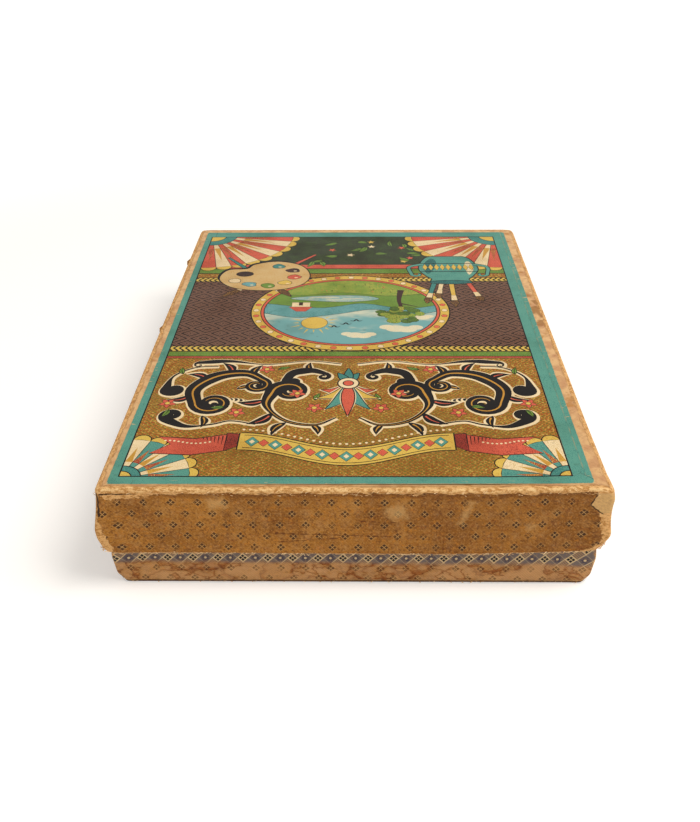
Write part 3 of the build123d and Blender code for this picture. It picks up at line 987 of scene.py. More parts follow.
def drawMedallion():
    cx, cy = label["medallionAt"]
    rx, ry = label["medallion"]
    keyed(oval(cx, cy, rx + 6.2, ry + 6.2, 72), "yellow", "ochre", 0.35, line=0.7)
    for i in range(40):
        a = 2 * math.pi * i / 40
        bead = oval(cx + (rx + 4.1) * math.cos(a), cy + (ry + 4.1) * math.sin(a), 1.35, count=12)
        keyed(bead, "coral" if i % 2 else "cream", "ochre", 0.2, line=0.2)
    keyed(oval(cx, cy, rx + 1.6, ry + 1.6, 72), "coral", "coralDeep", 0.3)
    window = oval(cx, cy, rx, ry, 72)
    keyed(window, "sky", "skyPale", 1.0, "sky")

    def hill(points, ink, second, amount):
        top = smoothLine([(x + cx, y + cy) for x, y in points])
        shape = np.vstack((top, [(top[-1][0], cy - ry - 4), (top[0][0], cy - ry - 4)]))
        keyed(shape, ink, second, amount, clip=window, line=0.3)

    keyed(oval(cx + 17, cy + 14, 6.2, count=30), "yellow", "ochre", 0.25, clip=window, line=0.2)
    for i in range(16):
        a = 2 * math.pi * i / 16
        tip = 10.5 + i % 2 * 2
        ray = [atAngle(cx + 17, cy + 14, r, a + d) for r, d in ((7.6, -0.06), (7.6, 0.06), (tip, 0))]
        printed(ray, "yellow", clip=window)
    for x, y, size in ((-24, 19, 1.0), (-4, 26, 0.8), (-33, 7, 0.7)):
        for dx, dy, r in ((-7, 0, 3.0), (-3, 2, 3.9), (2, 1.2, 4.3), (6.5, -0.4, 3.0)):
            puff = oval(cx + x + dx * size, cy + y + dy * size, r * size * 1.2, r * size * 0.8, 20)
            printed(puff, "cream", "skyPale", 0.5, clip=window)
    hill([(-50, -2), (-30, 5), (-12, -1), (6, 4), (26, 8), (50, 0)], "tealDeep", "sky", 0.55)
    hill([(-50, -9), (-28, -2), (-6, -8), (16, -3), (50, -10)], "green", "greenDeep", 0.35)
    water = smoothLine([(-14, -13), (0, -10), (18, -11), (30, -14), (14, -17), (-6, -17)], closed=True)
    keyed(water + (cx, cy), "sky", "cream", 0.35, clip=window, line=0.3)
    for y, x0, x1 in ((-12.5, 0, 12), (-14.0, -6, 4), (-15.4, 6, 20)):
        printed(slab(cx + x0, cy + y, cx + x1, cy + y + 0.4), "cream", clip=window)
    hill([(-50, -22), (-20, -17), (4, -21), (26, -18), (50, -24)], "green", "yellow", 0.3)
    walls = np.array(((20, -9), (29, -9), (29, -3.5), (20, -3.5))) + (cx, cy)
    roof = np.array(((18.6, -3.8), (30.4, -3.8), (26.5, 1.2), (22, 1.2))) + (cx, cy)
    keyed(walls, "cream", "creamDim", 0.3, clip=window, line=0.25)
    keyed(roof, "coral", "coralDeep", 0.35, clip=window, line=0.25)
    printed(slab(cx + 23.6, cy - 9, cx + 25.6, cy - 5.6), "brownDeep", clip=window)
    trunk = smoothLine([(-25.5, -24), (-24.2, -12), (-25.0, -2), (-23.5, 6)])
    printed(penStroke(trunk + (cx, cy), (3.4, 2.2, 1.8, 0.8)), "brownDeep", clip=window)
    for a, b in (((-24.3, -4), (-31, 3)), ((-24.3, -1), (-18, 5)), ((-24.5, -8), (-33, -4))):
        printed(penStroke(np.array((a, b)) + (cx, cy), (1.3, 0.5)), "brownDeep", clip=window)
    rng = random.Random(5)
    for i in range(26):
        a, d = rng.uniform(0, 2 * math.pi), rng.uniform(0, 1) ** 0.6
        x, y = cx - 24.5 + 11 * d * math.cos(a), cy + 5 + 7.5 * d * math.sin(a)
        ink, second = (("greenDeep", "green"), ("green", "yellow"))[i % 2]
        keyed(oval(x, y, rng.uniform(2.2, 3.4), rng.uniform(1.7, 2.6), 12), ink, second, 0.35, clip=window, line=0.15)
    for x, y in ((2, 14), (7.5, 17), (-3, 10.5)):
        wing = smoothLine([(x - 3, y + 0.9), (x - 1.2, y + 1.5), (x, y), (x + 1.2, y + 1.5), (x + 3, y + 0.9)])
        printed(penStroke(wing + (cx, cy), (0.2, 0.9, 0.9, 0.2)), "black", clip=window)
    for i in range(46):
        x, y = cx + rng.uniform(-38, 38), cy + rng.uniform(-34, -21)
        tip = (x + rng.uniform(-0.8, 0.8), y + rng.uniform(1.2, 2.6))
        printed(penStroke(((x, y), tip), (0.45, 0.1)), ("greenDeep", "black", "coral")[i % 3], clip=window)


# Bold black scrollwork with a pale edge, the same on both sides of the middle: the line, how it swells, and the
# radius, turns and hand of the curl at its head and at its tail
scrollLines = [
    (((4.5, 79.5), (13.0, 85.0), (25.0, 81.5), (33.0, 70.0), (31.0, 57.5)), (0.3, 1.0, 0.75), None, (6.6, 1.35, -1)),
    (
        ((35.5, 50.0), (44.0, 43.5), (56.0, 46.0), (64.5, 57.0), (62.0, 70.0)),
        (0.6, 1.05, 0.75),
        (5.0, 1.2, -1),
        (6.8, 1.35, 1),
    ),
    (((57.0, 37.2), (67.0, 38.5), (75.0, 46.0), (76.5, 57.0)), (0.15, 0.75, 0.5), None, (3.6, 1.2, 1)),
    (((36.0, 84.5), (46.0, 82.0), (53.0, 84.5), (63.0, 86.0), (72.0, 81.0)), (0.15, 0.6, 0.45), None, (3.8, 1.2, -1)),
    (((3.5, 35.0), (18.0, 32.4), (36.0, 35.6), (52.0, 32.6), (66.0, 33.8)), (0.1, 0.5, 0.12), None, (2.2, 1.0, 1)),
    (((9.5, 44.0), (16.0, 41.0), (23.5, 43.0), (26.5, 49.0)), (0.3, 0.75, 0.5), (2.6, 1.1, -1), (3.0, 1.1, 1)),
]
scrollLeaves = [
    (30, 76, 13, 4.6, 40, 0.3), (33.5, 66, 12, 4.4, 8, 0.3), (24, 83, 11, 3.8, 62, -0.3), (41, 45.5, 10, 3.8, 250, 0.3),
    (50, 43.6, 11, 4.0, 300, -0.3), (59.5, 49, 11, 4.0, 335, -0.3), (64.5, 62, 11, 4.0, 20, 0.35),
    (58, 78, 9, 3.2, 95, 0.3), (14, 84.5, 8, 3.2, 110, 0.3), (16, 41.5, 8, 3.0, 275, 0.3),
    (24, 50, 9, 3.2, 130, -0.3), (47, 57, 8, 3.0, 190, 0.3),
]


def drawScrollwork():
    pen = label["scrollPen"]
    strokes = []
    for points, swell, head, tail in scrollLines:
        line = curled(smoothLine(points), *tail)
        if head:
            line = curled(line[::-1], *head)[::-1]
        widths = [0.35 * swell[0], 0.8 * swell[0], *swell, 0.8 * swell[-1], 0.35 * swell[-1]]
        if not head:
            widths[0] = 0.1
        strokes.append((line, [pen * w for w in widths]))
    for sign in (-1, 1):
        for i in range(7):
            x, y, r = 42.5 + i * 1.9, 67.5 - i * 1.4 + 0.25 * i * i, 1.5 - 0.14 * i
            printed(mirrored(oval(x - 0.3, y + 0.4, r + 0.6, count=12), sign), "cream", "creamDim", 0.15)
            printed(mirrored(oval(x, y, r, count=12), sign), "black")
        for line, widths in strokes:
            pale = [w + 1.7 for w in widths]
            printed(mirrored(penStroke(line, pale) + (-0.35 * sign, 0.55), sign), "cream", "creamDim", 0.15)
        for x, y, length, width, angle, bend in scrollLeaves:
            paleEdge = leafOutline(x, y, length + 1.2, width + 1.6, angle, bend)
            printed(mirrored(paleEdge, sign), "cream", "creamDim", 0.15)
        for x, y, length, width, angle, bend in scrollLeaves:
            shape = leafOutline(x, y, length, width, angle, bend)
            printed(mirrored(shape, sign), "black")
            vein = penStroke(spineOf(shape)[2:-3], (0.8, 0.25))
            printed(mirrored(vein, sign), "coral" if width > 3.9 else "ochre")
        for line, widths in strokes:
            printed(mirrored(penStroke(line, widths), sign), "black")
            for end, width in ((line[0], widths[0]), (line[-1], widths[-1])):
                if width > 0.8:
                    printed(mirrored(oval(end[0], end[1], 1.5, count=16), sign), "black")
        for line, widths in strokes[:2]:
            printed(mirrored(penStroke(line[4:-10], [w * 0.14 for w in widths]), sign), "ochre")
        for x, y in ((13.5, 72.0), (21.0, 60.5), (44.5, 75.5), (73.5, 68.5), (35.5, 39.8)):
            for angle in range(20, 380, 72):
                keyed(mirrored(leafOutline(x, y, 3.6, 2.1, angle), sign), "coral", "coralDeep", 0.3, line=0.22)
            keyed(mirrored(oval(x, y, 1.0, count=12), sign), "yellow", line=0.2)
        for x, y, angle in ((13.5, 66, 250), (50, 71, 10), (72, 73.5, 70), (30.5, 40, 200), (71.5, 44, 280)):
            leafSprig(mirrored((x, y), sign)[0], y, 5.5, 2.0, angle if sign > 0 else 180 - angle)
    fan = (90, 66, 114, 42, 138, 22, 158)
    for i, angle in reversed(list(enumerate(fan))):
        length = (25, 22, 22, 17, 17, 12, 12)[i]
        bend = 0.2 * ((i + 1) // 2) * (1 if angle < 90 else -1)
        printed(leafOutline(0, 52.4, length + 1.6, 6.8, angle, bend), "cream", "creamDim", 0.15)
        ink = ("coral", "teal", "yellow", "coral")[(i + 1) // 2]
        second = {"coral": "coralDeep", "teal": "tealDeep", "yellow": "ochre"}[ink]
        keyed(leafOutline(0, 53, length, 5.2, angle, bend), ink, second, 0.35)
    for angle in (240, 270, 300):
        keyed(leafOutline(0, 51, 12 if angle == 270 else 9, 3.6, angle, 0), "tealDeep", "teal", 0.35)
    keyed(oval(0, 52, 4.2, 4.2, 24), "cream", "creamDim", 0.2, line=0.6)
    keyed(oval(0, 52, 2.0, 2.0, 18), "coral", "coralDeep", 0.3)


# A blank ribbon that swags across the top, with folded ends
def drawRibbon():
    def swag(x):
        return 101.5 + 5.0 * math.cos(x / 40 * math.pi)

    for sign in (-1, 1):
        tail = [(44, 91.5), (58, 95), (72, 93.5), (66.5, 98.5), (73.5, 104.5), (58, 105.5), (45, 102.5)]
        keyed(mirrored(tail, sign), "coral", "coralDeep", 0.4, line=0.5)
        keyed(mirrored([(37, 92.2), (46, 91), (46, 103), (37, 97)], sign), "coralDeep", "black", 0.4, line=0.4)
        for k in range(7):
            crease = penStroke(((46 + k * 1.5, 92.5 + k * 0.3), (46 + k * 1.4, 99.5 - k * 0.7)), (0.5, 0.15))
            printed(mirrored(crease, sign), "black")
        for k in range(11):
            x = 52 + k * 1.7
            printed(mirrored(oval(x, 97.0 + 1.0 * math.sin(k * 0.5), 0.5, count=8), sign), "cream")
    across = np.linspace(-41, 41, 50)
    top = [(x, swag(x) + 5.6) for x in across]
    bottom = [(x, swag(x) - 5.6) for x in across]
    keyed(top + bottom[::-1], "yellow", "ochre", 0.3, line=0.55)
    for shift in (4.3, -4.3):
        printed(penStroke([(x, swag(x) + shift) for x in across[1:-1]], (0.4, 0.4)), "black")
    for i in range(17):
        x = -36 + i * 4.5
        y = swag(x)
        if i % 2:
            keyed([(x - 1.9, y), (x, y + 2.3), (x + 1.9, y), (x, y - 2.3)], "coral", "coralDeep", 0.3, line=0.25)
        else:
            keyed([(x - 2.6, y), (x, y + 3.2), (x + 2.6, y), (x, y - 3.2)], "teal", "tealDeep", 0.3, line=0.25)
            printed([(x - 1.1, y), (x, y + 1.4), (x + 1.1, y), (x, y - 1.4)], "cream")
    for i in range(33):
        x = -40 + i * 2.5
        printed(oval(x, swag(x) - 8.2, 0.6, count=8), "cream")


def drawBrush(ends, width, handle, second):
    a, b = np.array(ends[0], float), np.array(ends[1], float)
    run = b - a
    shaft = penStroke([a, a + run * 0.35, a + run * 0.68], (width * 0.4, width, width * 0.85))
    ferrule = penStroke([a + run * 0.68, a + run * 0.82], (width * 1.0, width * 1.25))
    hair = penStroke([a + run * 0.82, a + run * 0.9, b], (width * 1.3, width * 1.7, 0.3))
    keyed(shaft, handle, second, 0.35, line=0.35)
    keyed(ferrule, "cream", "creamDim", 0.45, line=0.35)
    keyed(hair, "brownDeep", "ochre", 0.3, line=0.3)


def drawStillLife():
    drawBrush(((20, -92), (66, -34)), 2.6, "coral", "coralDeep")
    drawBrush(((68, -88), (30, -36)), 2.4, "tealDeep", "teal")
    rim = [(22, -62), (27, -50), (42, -44), (60, -47), (69, -58), (66, -70), (56, -72), (52, -78), (40, -82), (27, -76)]
    board = smoothLine(rim, closed=True)
    keyed(board + (0.9, -1.1), "black")
    keyed(board, "creamDim", "ochre", 0.35, line=0.6)
    keyed(oval(56.5, -65.0, 4.2, 3.0, 20), "brownDeep", "black", 0.4, line=0.5)
    blobs = (
        (30, -61, "coral", "coralDeep"),
        (34, -53.5, "yellow", "ochre"),
        (43, -50, "green", "greenDeep"),
        (52.5, -51.5, "sky", "tealDeep"),
        (61, -56, "cream", "creamDim"),
        (31, -70, "brownDeep", "brown"),
        (39.5, -75.5, "tealDeep", "teal"),
    )
    rng = random.Random(11)
    for x, y, ink, second in blobs:
        lump = []
        for a in np.linspace(0, 2 * math.pi, 9)[:-1]:
            across, along = 3.5 + rng.uniform(-0.7, 0.7), 2.8 + rng.uniform(-0.6, 0.6)
            lump.append((x + across * math.cos(a), y + along * math.sin(a)))
        keyed(smoothLine(lump, 4, closed=True), ink, second, 0.3, line=0.3)
        printed(oval(x - 1.0, y + 0.9, 1.0, 0.5, 10), "cream")
    brushes = (
        (-58, -66, -30, "coral", "coralDeep"),
        (-52, -52, -24, "yellow", "ochre"),
        (-46, -38, -28, "tealDeep", "teal"),
        (-49, -44, -34, "cream", "creamDim"),
    )
    for x0, x1, y1, ink, second in brushes:
        drawBrush(((x0, -66), (x1, y1)), 2.4, ink, second)
    jugAt = -52
    half = [(-9, -89), (-12, -86), (-15, -78), (-15.5, -70), (-12, -62), (-9.5, -58), (-11, -54)]
    left = smoothLine([(jugAt + x, y) for x, y in half])
    right = smoothLine([(jugAt - x, y) for x, y in half])
    keyed(np.vstack((left, right[::-1])), "teal", "tealDeep", 0.35, line=0.6)
    shine = smoothLine([(-64, -82), (-65.5, -72), (-62.5, -64), (-61, -72), (-61.5, -80)], closed=True)
    printed(shine, "cream", "teal", 0.35)
    shadow = smoothLine([(-43, -86), (-38.6, -76), (-40.5, -65), (-44.5, -72), (-46, -82)], closed=True)
    printed(shadow, "tealDeep", "black", 0.4)
    for y, spread in ((-68.5, 15.2), (-79.5, 14.9)):
        printed(slab(jugAt - spread, y, jugAt + spread, y + 0.7), "black")
    for i in range(9):
        x = jugAt - 12.4 + i * 3.1
        keyed([(x - 1.3, -74), (x, -70), (x + 1.3, -74), (x, -78)], "yellow", "ochre", 0.3, line=0.2)
    keyed(oval(jugAt, -54, 11, 2.2, 26), "tealDeep", "black", 0.4, line=0.5)
    for sign in (-1, 1):
        side = [(jugAt + sign * 14.4, -78), (jugAt + sign * 21, -74), (jugAt + sign * 20, -64)]
        handle = curled(smoothLine(side), 3.0, 0.6, sign)
        printed(penStroke(handle, (2.9, 2.6, 1.9)), "black")
        printed(penStroke(handle, (2.0, 1.7, 1.0)), "teal")


def drawBorder():
    b = label["borders"]
    left, right = labelLow[0] + b["left"], labelHigh[0] - b["right"]
    near, far = labelLow[1] + b["near"], labelHigh[1] - b["far"]
    centre = np.array(((left + right) / 2, (near + far) / 2))
    reach = 200.0

    def frameOf(grow, ink, second=None, amount=0.0):
        x0, x1, y0, y1 = left - grow, right + grow, near - grow, far + grow
        sides = ((-reach, -reach, x0, reach), (x1, -reach, reach, reach), (x0, -reach, x1, y0), (x0, y1, x1, reach))
        for side in sides:
            printed(centre - slab(*side), ink, second, amount)

    frameOf(0.0, "black")
    frameOf(label["keyline"], "teal", "tealDeep", 0.25)
    return centre


# Paints every triangle of one flat sheet with the uppermost shape over it.
def printSheet():
    drawGround()
    drawFans()
    drawScrollwork()
    drawRibbon()
    drawMedallion()
    drawStillLife()
    centre = drawBorder()
    x0, y0, x1, y1 = labelLow[0], labelLow[1], labelHigh[0], labelHigh[1]
    placed = []
    for points, ink, second, amount, pattern, clip in printShapes:
        points = np.clip(centre - points, (x0 - 5, y0 - 5), (x1 + 5, y1 + 5))
        keep = np.linalg.norm(points - np.roll(points, 1, 0), axis=1) > 0.02
        placed.append((points[keep], ink, second, amount, pattern, None if clip is None else centre - clip))
    coords, edges = [], []

    def closedLine(points):
        first = len(coords)
        coords.extend(Vector(p) for p in points)
        edges.extend((first + i, first + (i + 1) % len(points)) for i in range(len(points)))

    closedLine(np.array(((x0, y0), (x1, y0), (x1, y1), (x0, y1))))
    for shape in placed:
        closedLine(shape[0])
    step = label["gridStep"]
    for i in range(int((x1 - x0) / step)):
        for j in range(int((y1 - y0) / step)):
            coords.append(Vector((x0 + (i + 0.5 + 0.2 * (j % 2)) * step, y0 + (j + 0.5) * step)))
    cut = geometry.delaunay_2d_cdt(coords, edges, [], 0, 1e-4)
    verts = np.array([tuple(v) for v in cut[0]])
    tris = np.array([f for f in cut[2] if len(f) == 3])
    middle = verts[tris].mean(1)
    held = (middle[:, 0] > x0) & (middle[:, 0] < x1) & (middle[:, 1] > y0) & (middle[:, 1] < y1)
    tris, middle = tris[held], middle[held]

    def covers(points, where):
        turns = np.zeros(len(where), int)
        for a, b in zip(points, np.roll(points, -1, 0)):
            upward = (a[1] <= where[:, 1]) & (b[1] > where[:, 1])
            downward = (a[1] > where[:, 1]) & (b[1] <= where[:, 1])
            side = (b[0] - a[0]) * (where[:, 1] - a[1]) - (where[:, 0] - a[0]) * (b[1] - a[1])
            turns += (upward & (side > 0)).astype(int) - (downward & (side < 0)).astype(int)
        return turns != 0

    topInk = np.zeros((len(tris), 9), np.float32)
    for points, ink, second, amount, pattern, clip in placed:
        low, high = points.min(0), points.max(0)
        near = np.nonzero(((middle >= low) & (middle <= high)).all(1))[0]
        if not len(near):
            continue
        hit = near[covers(points, middle[near])]
        if clip is not None and len(hit):
            hit = hit[covers(clip, middle[hit])]
        topInk[hit] = (*ink[:3], *second[:3], amount, pattern, 0)
    return verts, tris, topInk


# What each face of the label carries for its material, and the columns of printSheet's table it comes from
inkLayers = {"inkColour": (0, 1, 2), "inkSecond": (3, 4, 5), "inkPattern": (6, 7, 8)}


def makeLabel():
    verts, tris, topInk = printSheet()
    used = np.unique(tris)
    renumber = np.zeros(len(verts), int)
    renumber[used] = np.arange(len(used))
    flat = verts[used]
    tris = renumber[tris]
    leftness, nearness = (np.clip(1 - (flat[:, i] - labelLow[i]) / label["stretchReach"], 0, 1) for i in (0, 1))
    toLeft, toNear = label["stretch"]
    crept = flat - np.column_stack((toLeft * nearness * leftness, toNear * nearness**2))
    top = handled(np.column_stack((crept, np.full(len(flat), labelHigh[2]))), lid)
    data = bpy.data.meshes.new("printedLabel")
    data.from_pydata((top * mm).tolist(), [], tris.tolist())
    data.update()
    for name, columns in inkLayers.items():
        layer = data.attributes.new(name, "FLOAT_VECTOR", "FACE")
        layer.data.foreach_set("vector", topInk[:, columns].ravel())
    mesh = bmesh.new()
    mesh.from_mesh(data)
    bmesh.ops.dissolve_degenerate(mesh, dist=0.0005 * mm, edges=mesh.edges)
    if sum(face.normal.z for face in mesh.faces) < 0:
        bmesh.ops.reverse_faces(mesh, faces=mesh.faces)
    rim = [e for e in mesh.edges if e.is_boundary]
    ring = bmesh.ops.extrude_edge_only(mesh, edges=rim)["geom"]
    for vert in (g for g in ring if isinstance(g, bmesh.types.BMVert)):
        vert.co.z -= paperThickness * 0.9 * mm
    mesh.to_mesh(data)
    mesh.free()
    for name in inkLayers:
        layer = data.attributes[name].data
        for face in data.polygons:
            if abs(face.normal.z) < 0.5:
                layer[face.index].vector = inks["creamDim"][:3] if name != "inkPattern" else (0, 0, 0)
    return linked("printedLabel", data)


# The gold ground: a fine slanting lattice with rusty and pale flecks
def goldGround(r):
    fine = 2.0
    over, under = r.math("DIVIDE", r.add(r.x, r.y), fine), r.math("DIVIDE", r.minus(r.x, r.y), fine)
    threads = r.largest(*(r.rise(r.math("PINGPONG", f, 0.5), 0.3, 0.42) for f in (over, under)))
    ground = r.mix(threads, colour(110, 106, 37), colour(184, 112, 42))
    ground = r.touch(ground, colour(152, 72, 30), r.noise(1.1, 2, seed=43), 0.5, 0.6, 0.85)
    ground = r.touch(ground, colour(216, 176, 84), r.noise(0.8, 2, seed=44), 0.57, 0.64, 0.75)
    return r.touch(ground, colour(120, 100, 40), r.noise(34, 2, seed=45), 0.4, 0.7, 0.4)


# The cloth band: nested diamonds with toothed edges
def clothWeave(r, first, chalk):
    wide, deep = 7.0, 5.2  # half the size of one diamond
    nestedAcross = r.math("DIVIDE", r.math("PINGPONG", r.x, wide), wide)
    nestedAlong = r.math("DIVIDE", r.math("PINGPONG", r.add(r.y, 2.0), deep), deep)
    rings = r.math("PINGPONG", r.times(r.add(nestedAcross, nestedAlong), 1.75), 0.5)
    teeth = r.rise(r.math("PINGPONG", r.times(r.minus(r.x, r.y), 0.5), 0.5), 0.2, 0.26)
    weave = r.mix(r.rise(rings, 0.31, 0.34), first, colour(30, 22, 18))
    weave = r.mix(r.times(r.within(rings, 0.06, 0.2, 0.015), teeth, 0.4), weave, colour(52, 34, 28))
    weave = r.mix(r.times(r.within(rings, 0.24, 0.29, 0.01), 0.9), weave, colour(176, 128, 92))
    return r.touch(weave, colour(88, 62, 52), chalk, 0.5, 0.62, 0.3)


# Chromolithograph inks under a thin yellowed varnish: chalk grain, the grounds with patterns of their own, and wear.
def labelMaterial():
    r = Recipe("printedLabelPaper", roughness=0.5, specular=0.06)
    first, second = r.attribute("inkColour"), r.attribute("inkSecond")
    amount, pattern, _ = r.split(r.attribute("inkPattern"))
    kinds = ("gold", "sky", "cloth", "chevron")
    gold, sky, cloth, chevron = (r.math("COMPARE", pattern, float(patterns[kind]), 0.3) for kind in kinds)
    x, y = r.x, r.y

    chalk = r.noise(0.36, 2, seed=41)
    tone = r.noise(7.0, 2, seed=42)
    level = r.add(r.math("MULTIPLY_ADD", amount, 0.42, 0.3), r.times(r.minus(tone, 0.5), 0.22))
    stipple = r.times(r.rise(r.minus(level, chalk), -0.03, 0.05), r.rise(amount, 0.01, 0.05))
    ink = r.mix(stipple, first, second)
    ink = r.mix(gold, ink, goldGround(r))

    centreY = (labelLow[1] + labelHigh[1]) / 2 - label["medallionAt"][1]
    height = r.math("DIVIDE", r.minus(centreY, y), label["medallion"][1])
    clouds = r.noise(9.0, 4, stretch=(0.6, 1.3, 1), seed=46)
    haze = r.rise(r.add(r.times(height, -0.55), r.times(clouds, 1.5)), 0.42, 0.95)
    ink = r.mix(sky, ink, r.mix(r.times(haze, r.math("MULTIPLY_ADD", stipple, 0.2, 0.8)), first, second))

    ink = r.mix(cloth, ink, clothWeave(r, first, chalk))
    zigzag = r.math("FRACT", r.times(r.add(x, r.times(r.math("PINGPONG", r.add(y, 0.4), 2.4), 0.9)), 1 / 2.7))
    ink = r.mix(chevron, ink, r.mix(r.within(zigzag, 0.12, 0.55, 0.03), first, second))

    # age: brown bloom, fine cracks, and ink scuffed off at the edges and along the ridge of the paper below
    bloom = r.noise(24, 4, seed=47)
    ink = r.touch(ink, colour(150, 110, 60), bloom, 0.45, 0.75, 0.3, "MULTIPLY")
    ink = r.touch(ink, colour(120, 84, 44), r.noise(3.0, 5, seed=48), 0.62, 0.72, 0.22, "MULTIPLY")
    reach, (toLeft, toNear) = label["stretchReach"], label["stretch"]
    nearness = r.math("MULTIPLY_ADD", y, -1 / reach, 1 + labelLow[1] / reach, clamp=True)
    left = r.add(x, -labelLow[0], r.times(nearness, toLeft))
    near = r.minus(y, labelLow[1] - toNear)
    right, far = r.minus(labelHigh[0], x), r.minus(labelHigh[1], y)
    edge = r.least(left, right, near, far)
    corner = r.least(r.add(left, near), r.add(right, near), r.add(left, far), r.add(right, far))
    rag = r.minus(r.noise(1.6, 5, seed=49, roughness=0.65), 0.5)
    scuff = r.rise(r.add(edge, r.times(rag, 0.7)), 0.08, 0.0)
    scuff = r.largest(scuff, r.rise(r.add(corner, r.times(rag, 6.0)), 1.0, 0.5))
    long = r.noise(1.3, 3, stretch=(0.25, 1.0, 1.0), seed=50)
    scuff = r.largest(scuff, r.times(r.rise(r.add(edge, r.times(rag, 3.0)), 3.4, 0.4), r.rise(long, 0.66, 0.7), 0.8))
    turnedEdge = lidHigh[0] - lid["margin"]
    ridge = r.within(r.add(x, r.times(rag, 0.5)), turnedEdge - 0.35, turnedEdge + 0.05, 0.12)
    scuff = r.largest(scuff, r.times(ridge, r.rise(r.noise(6, 2, seed=51), 0.4, 0.6), 0.35))
    ink = r.mix(scuff, ink, r.mix(r.rise(chalk, 0.4, 0.6), colour(222, 190, 140), colour(196, 156, 104)))
    crack = r.rise(r.cells(15.0, feature="DISTANCE_TO_EDGE", seed=5), 0.012, 0.004)
    cornerOnly = r.rise(r.add(corner, r.times(rag, 6.0)), 15.0, 6.0)
    ink = r.mix(r.times(crack, cornerOnly, 0.75), ink, colour(54, 38, 26))

    sunk = r.largest(*(r.rise(r.math("ABSOLUTE", v), h - 8.5, h - 7.9) for v, h in ((x, lidHigh[0]), (y, lidHigh[1]))))
    relief = r.bump(sunk, 0.16, 0.9)
    relief = r.bump(r.noise(20, 3, seed=52), 0.5, 0.5, relief)
    relief = r.bump(r.minus(1.0, scuff), 0.05, 0.8, relief)
    relief = r.bump(chalk, 0.012, 0.8, relief)
    roughness = r.add(0.4, r.times(scuff, 0.35), r.times(r.rise(bloom, 0.4, 0.7), 0.1))
    return r.finish(ink, relief, roughness)


printedLabel = makeLabel()
dress(printedLabel, labelMaterial())
place(printedLabel, "lid", "label_paper", "lid_label")
print("label:", len(printShapes), "shapes,", len(printedLabel.data.polygons), "faces")


# Lays nodes in a Geometry Nodes tree and joins them. What a node takes is given by socket name or number, and a node
# given there stands for its first output.
class NodeTree:
    def __init__(self, name, inputs):
        self.tree = bpy.data.node_groups.new(name, "GeometryNodeTree")
        self.tree.interface.new_socket("Geometry", in_out="INPUT", socket_type="NodeSocketGeometry")
        for socketName, kind in inputs.items():
            self.tree.interface.new_socket(socketName, in_out="INPUT", socket_type="NodeSocket" + kind)
        self.tree.interface.new_socket("Geometry", in_out="OUTPUT", socket_type="NodeSocketGeometry")
        self.given = self.tree.nodes.new("NodeGroupInput").outputs

    def add(self, kind, takes, **settings):
        node = self.tree.nodes.new(kind)
        for key, value in settings.items():
            setattr(node, key, value)
        for key, value in takes.items():
            for one in value if isinstance(value, list) else [value]:
                if isinstance(one, bpy.types.Node):
                    one = one.outputs[0]
                if isinstance(one, bpy.types.NodeSocket):
                    self.tree.links.new(one, node.inputs[key])
                else:
                    node.inputs[key].default_value = one
        return node

    # a random shift of up to reach either way along each of the axes
    def randomShift(self, reach, axes):
        less = self.add("ShaderNodeMath", {0: reach, 1: -1.0}, operation="MULTIPLY")
        low = self.add("ShaderNodeCombineXYZ", {axis: less for axis in axes})
        high = self.add("ShaderNodeCombineXYZ", {axis: reach for axis in axes})
        takes = {0: low, 1: high, 8: self.given["Seed"]}
        return self.add("FunctionNodeRandomValue", takes, data_type="FLOAT_VECTOR")

    def end(self, made):
        whole = self.add("GeometryNodeRealizeInstances", {"Geometry": made})
        dressed = self.add("GeometryNodeSetMaterial", {"Geometry": whole, "Material": self.given["Material"]})
        output = self.tree.nodes.new("NodeGroupOutput")
        self.tree.links.new(dressed.outputs[0], output.inputs[0])
        return self

    def run(self, name, start=None, **values):
        piece = linked(name, start or bpy.data.meshes.new(name + "Start"))
        made = piece.modifiers.new(name, "NODES")
        made.node_group = self.tree
        for item in self.tree.interface.items_tree:
            if item.in_out == "INPUT" and item.name in values:
                made[item.identifier] = values[item.name]
        return applied(piece)


# The drawing paper: thirty loose leaves, each a little off the one below and faintly waved
paperPile = {"Leaves": 30, "Drift": 0.55 * mm, "Turn": 0.0022, "Wave": 0.16 * mm, "Thickness": 0.15 * mm, "Seed": 4}


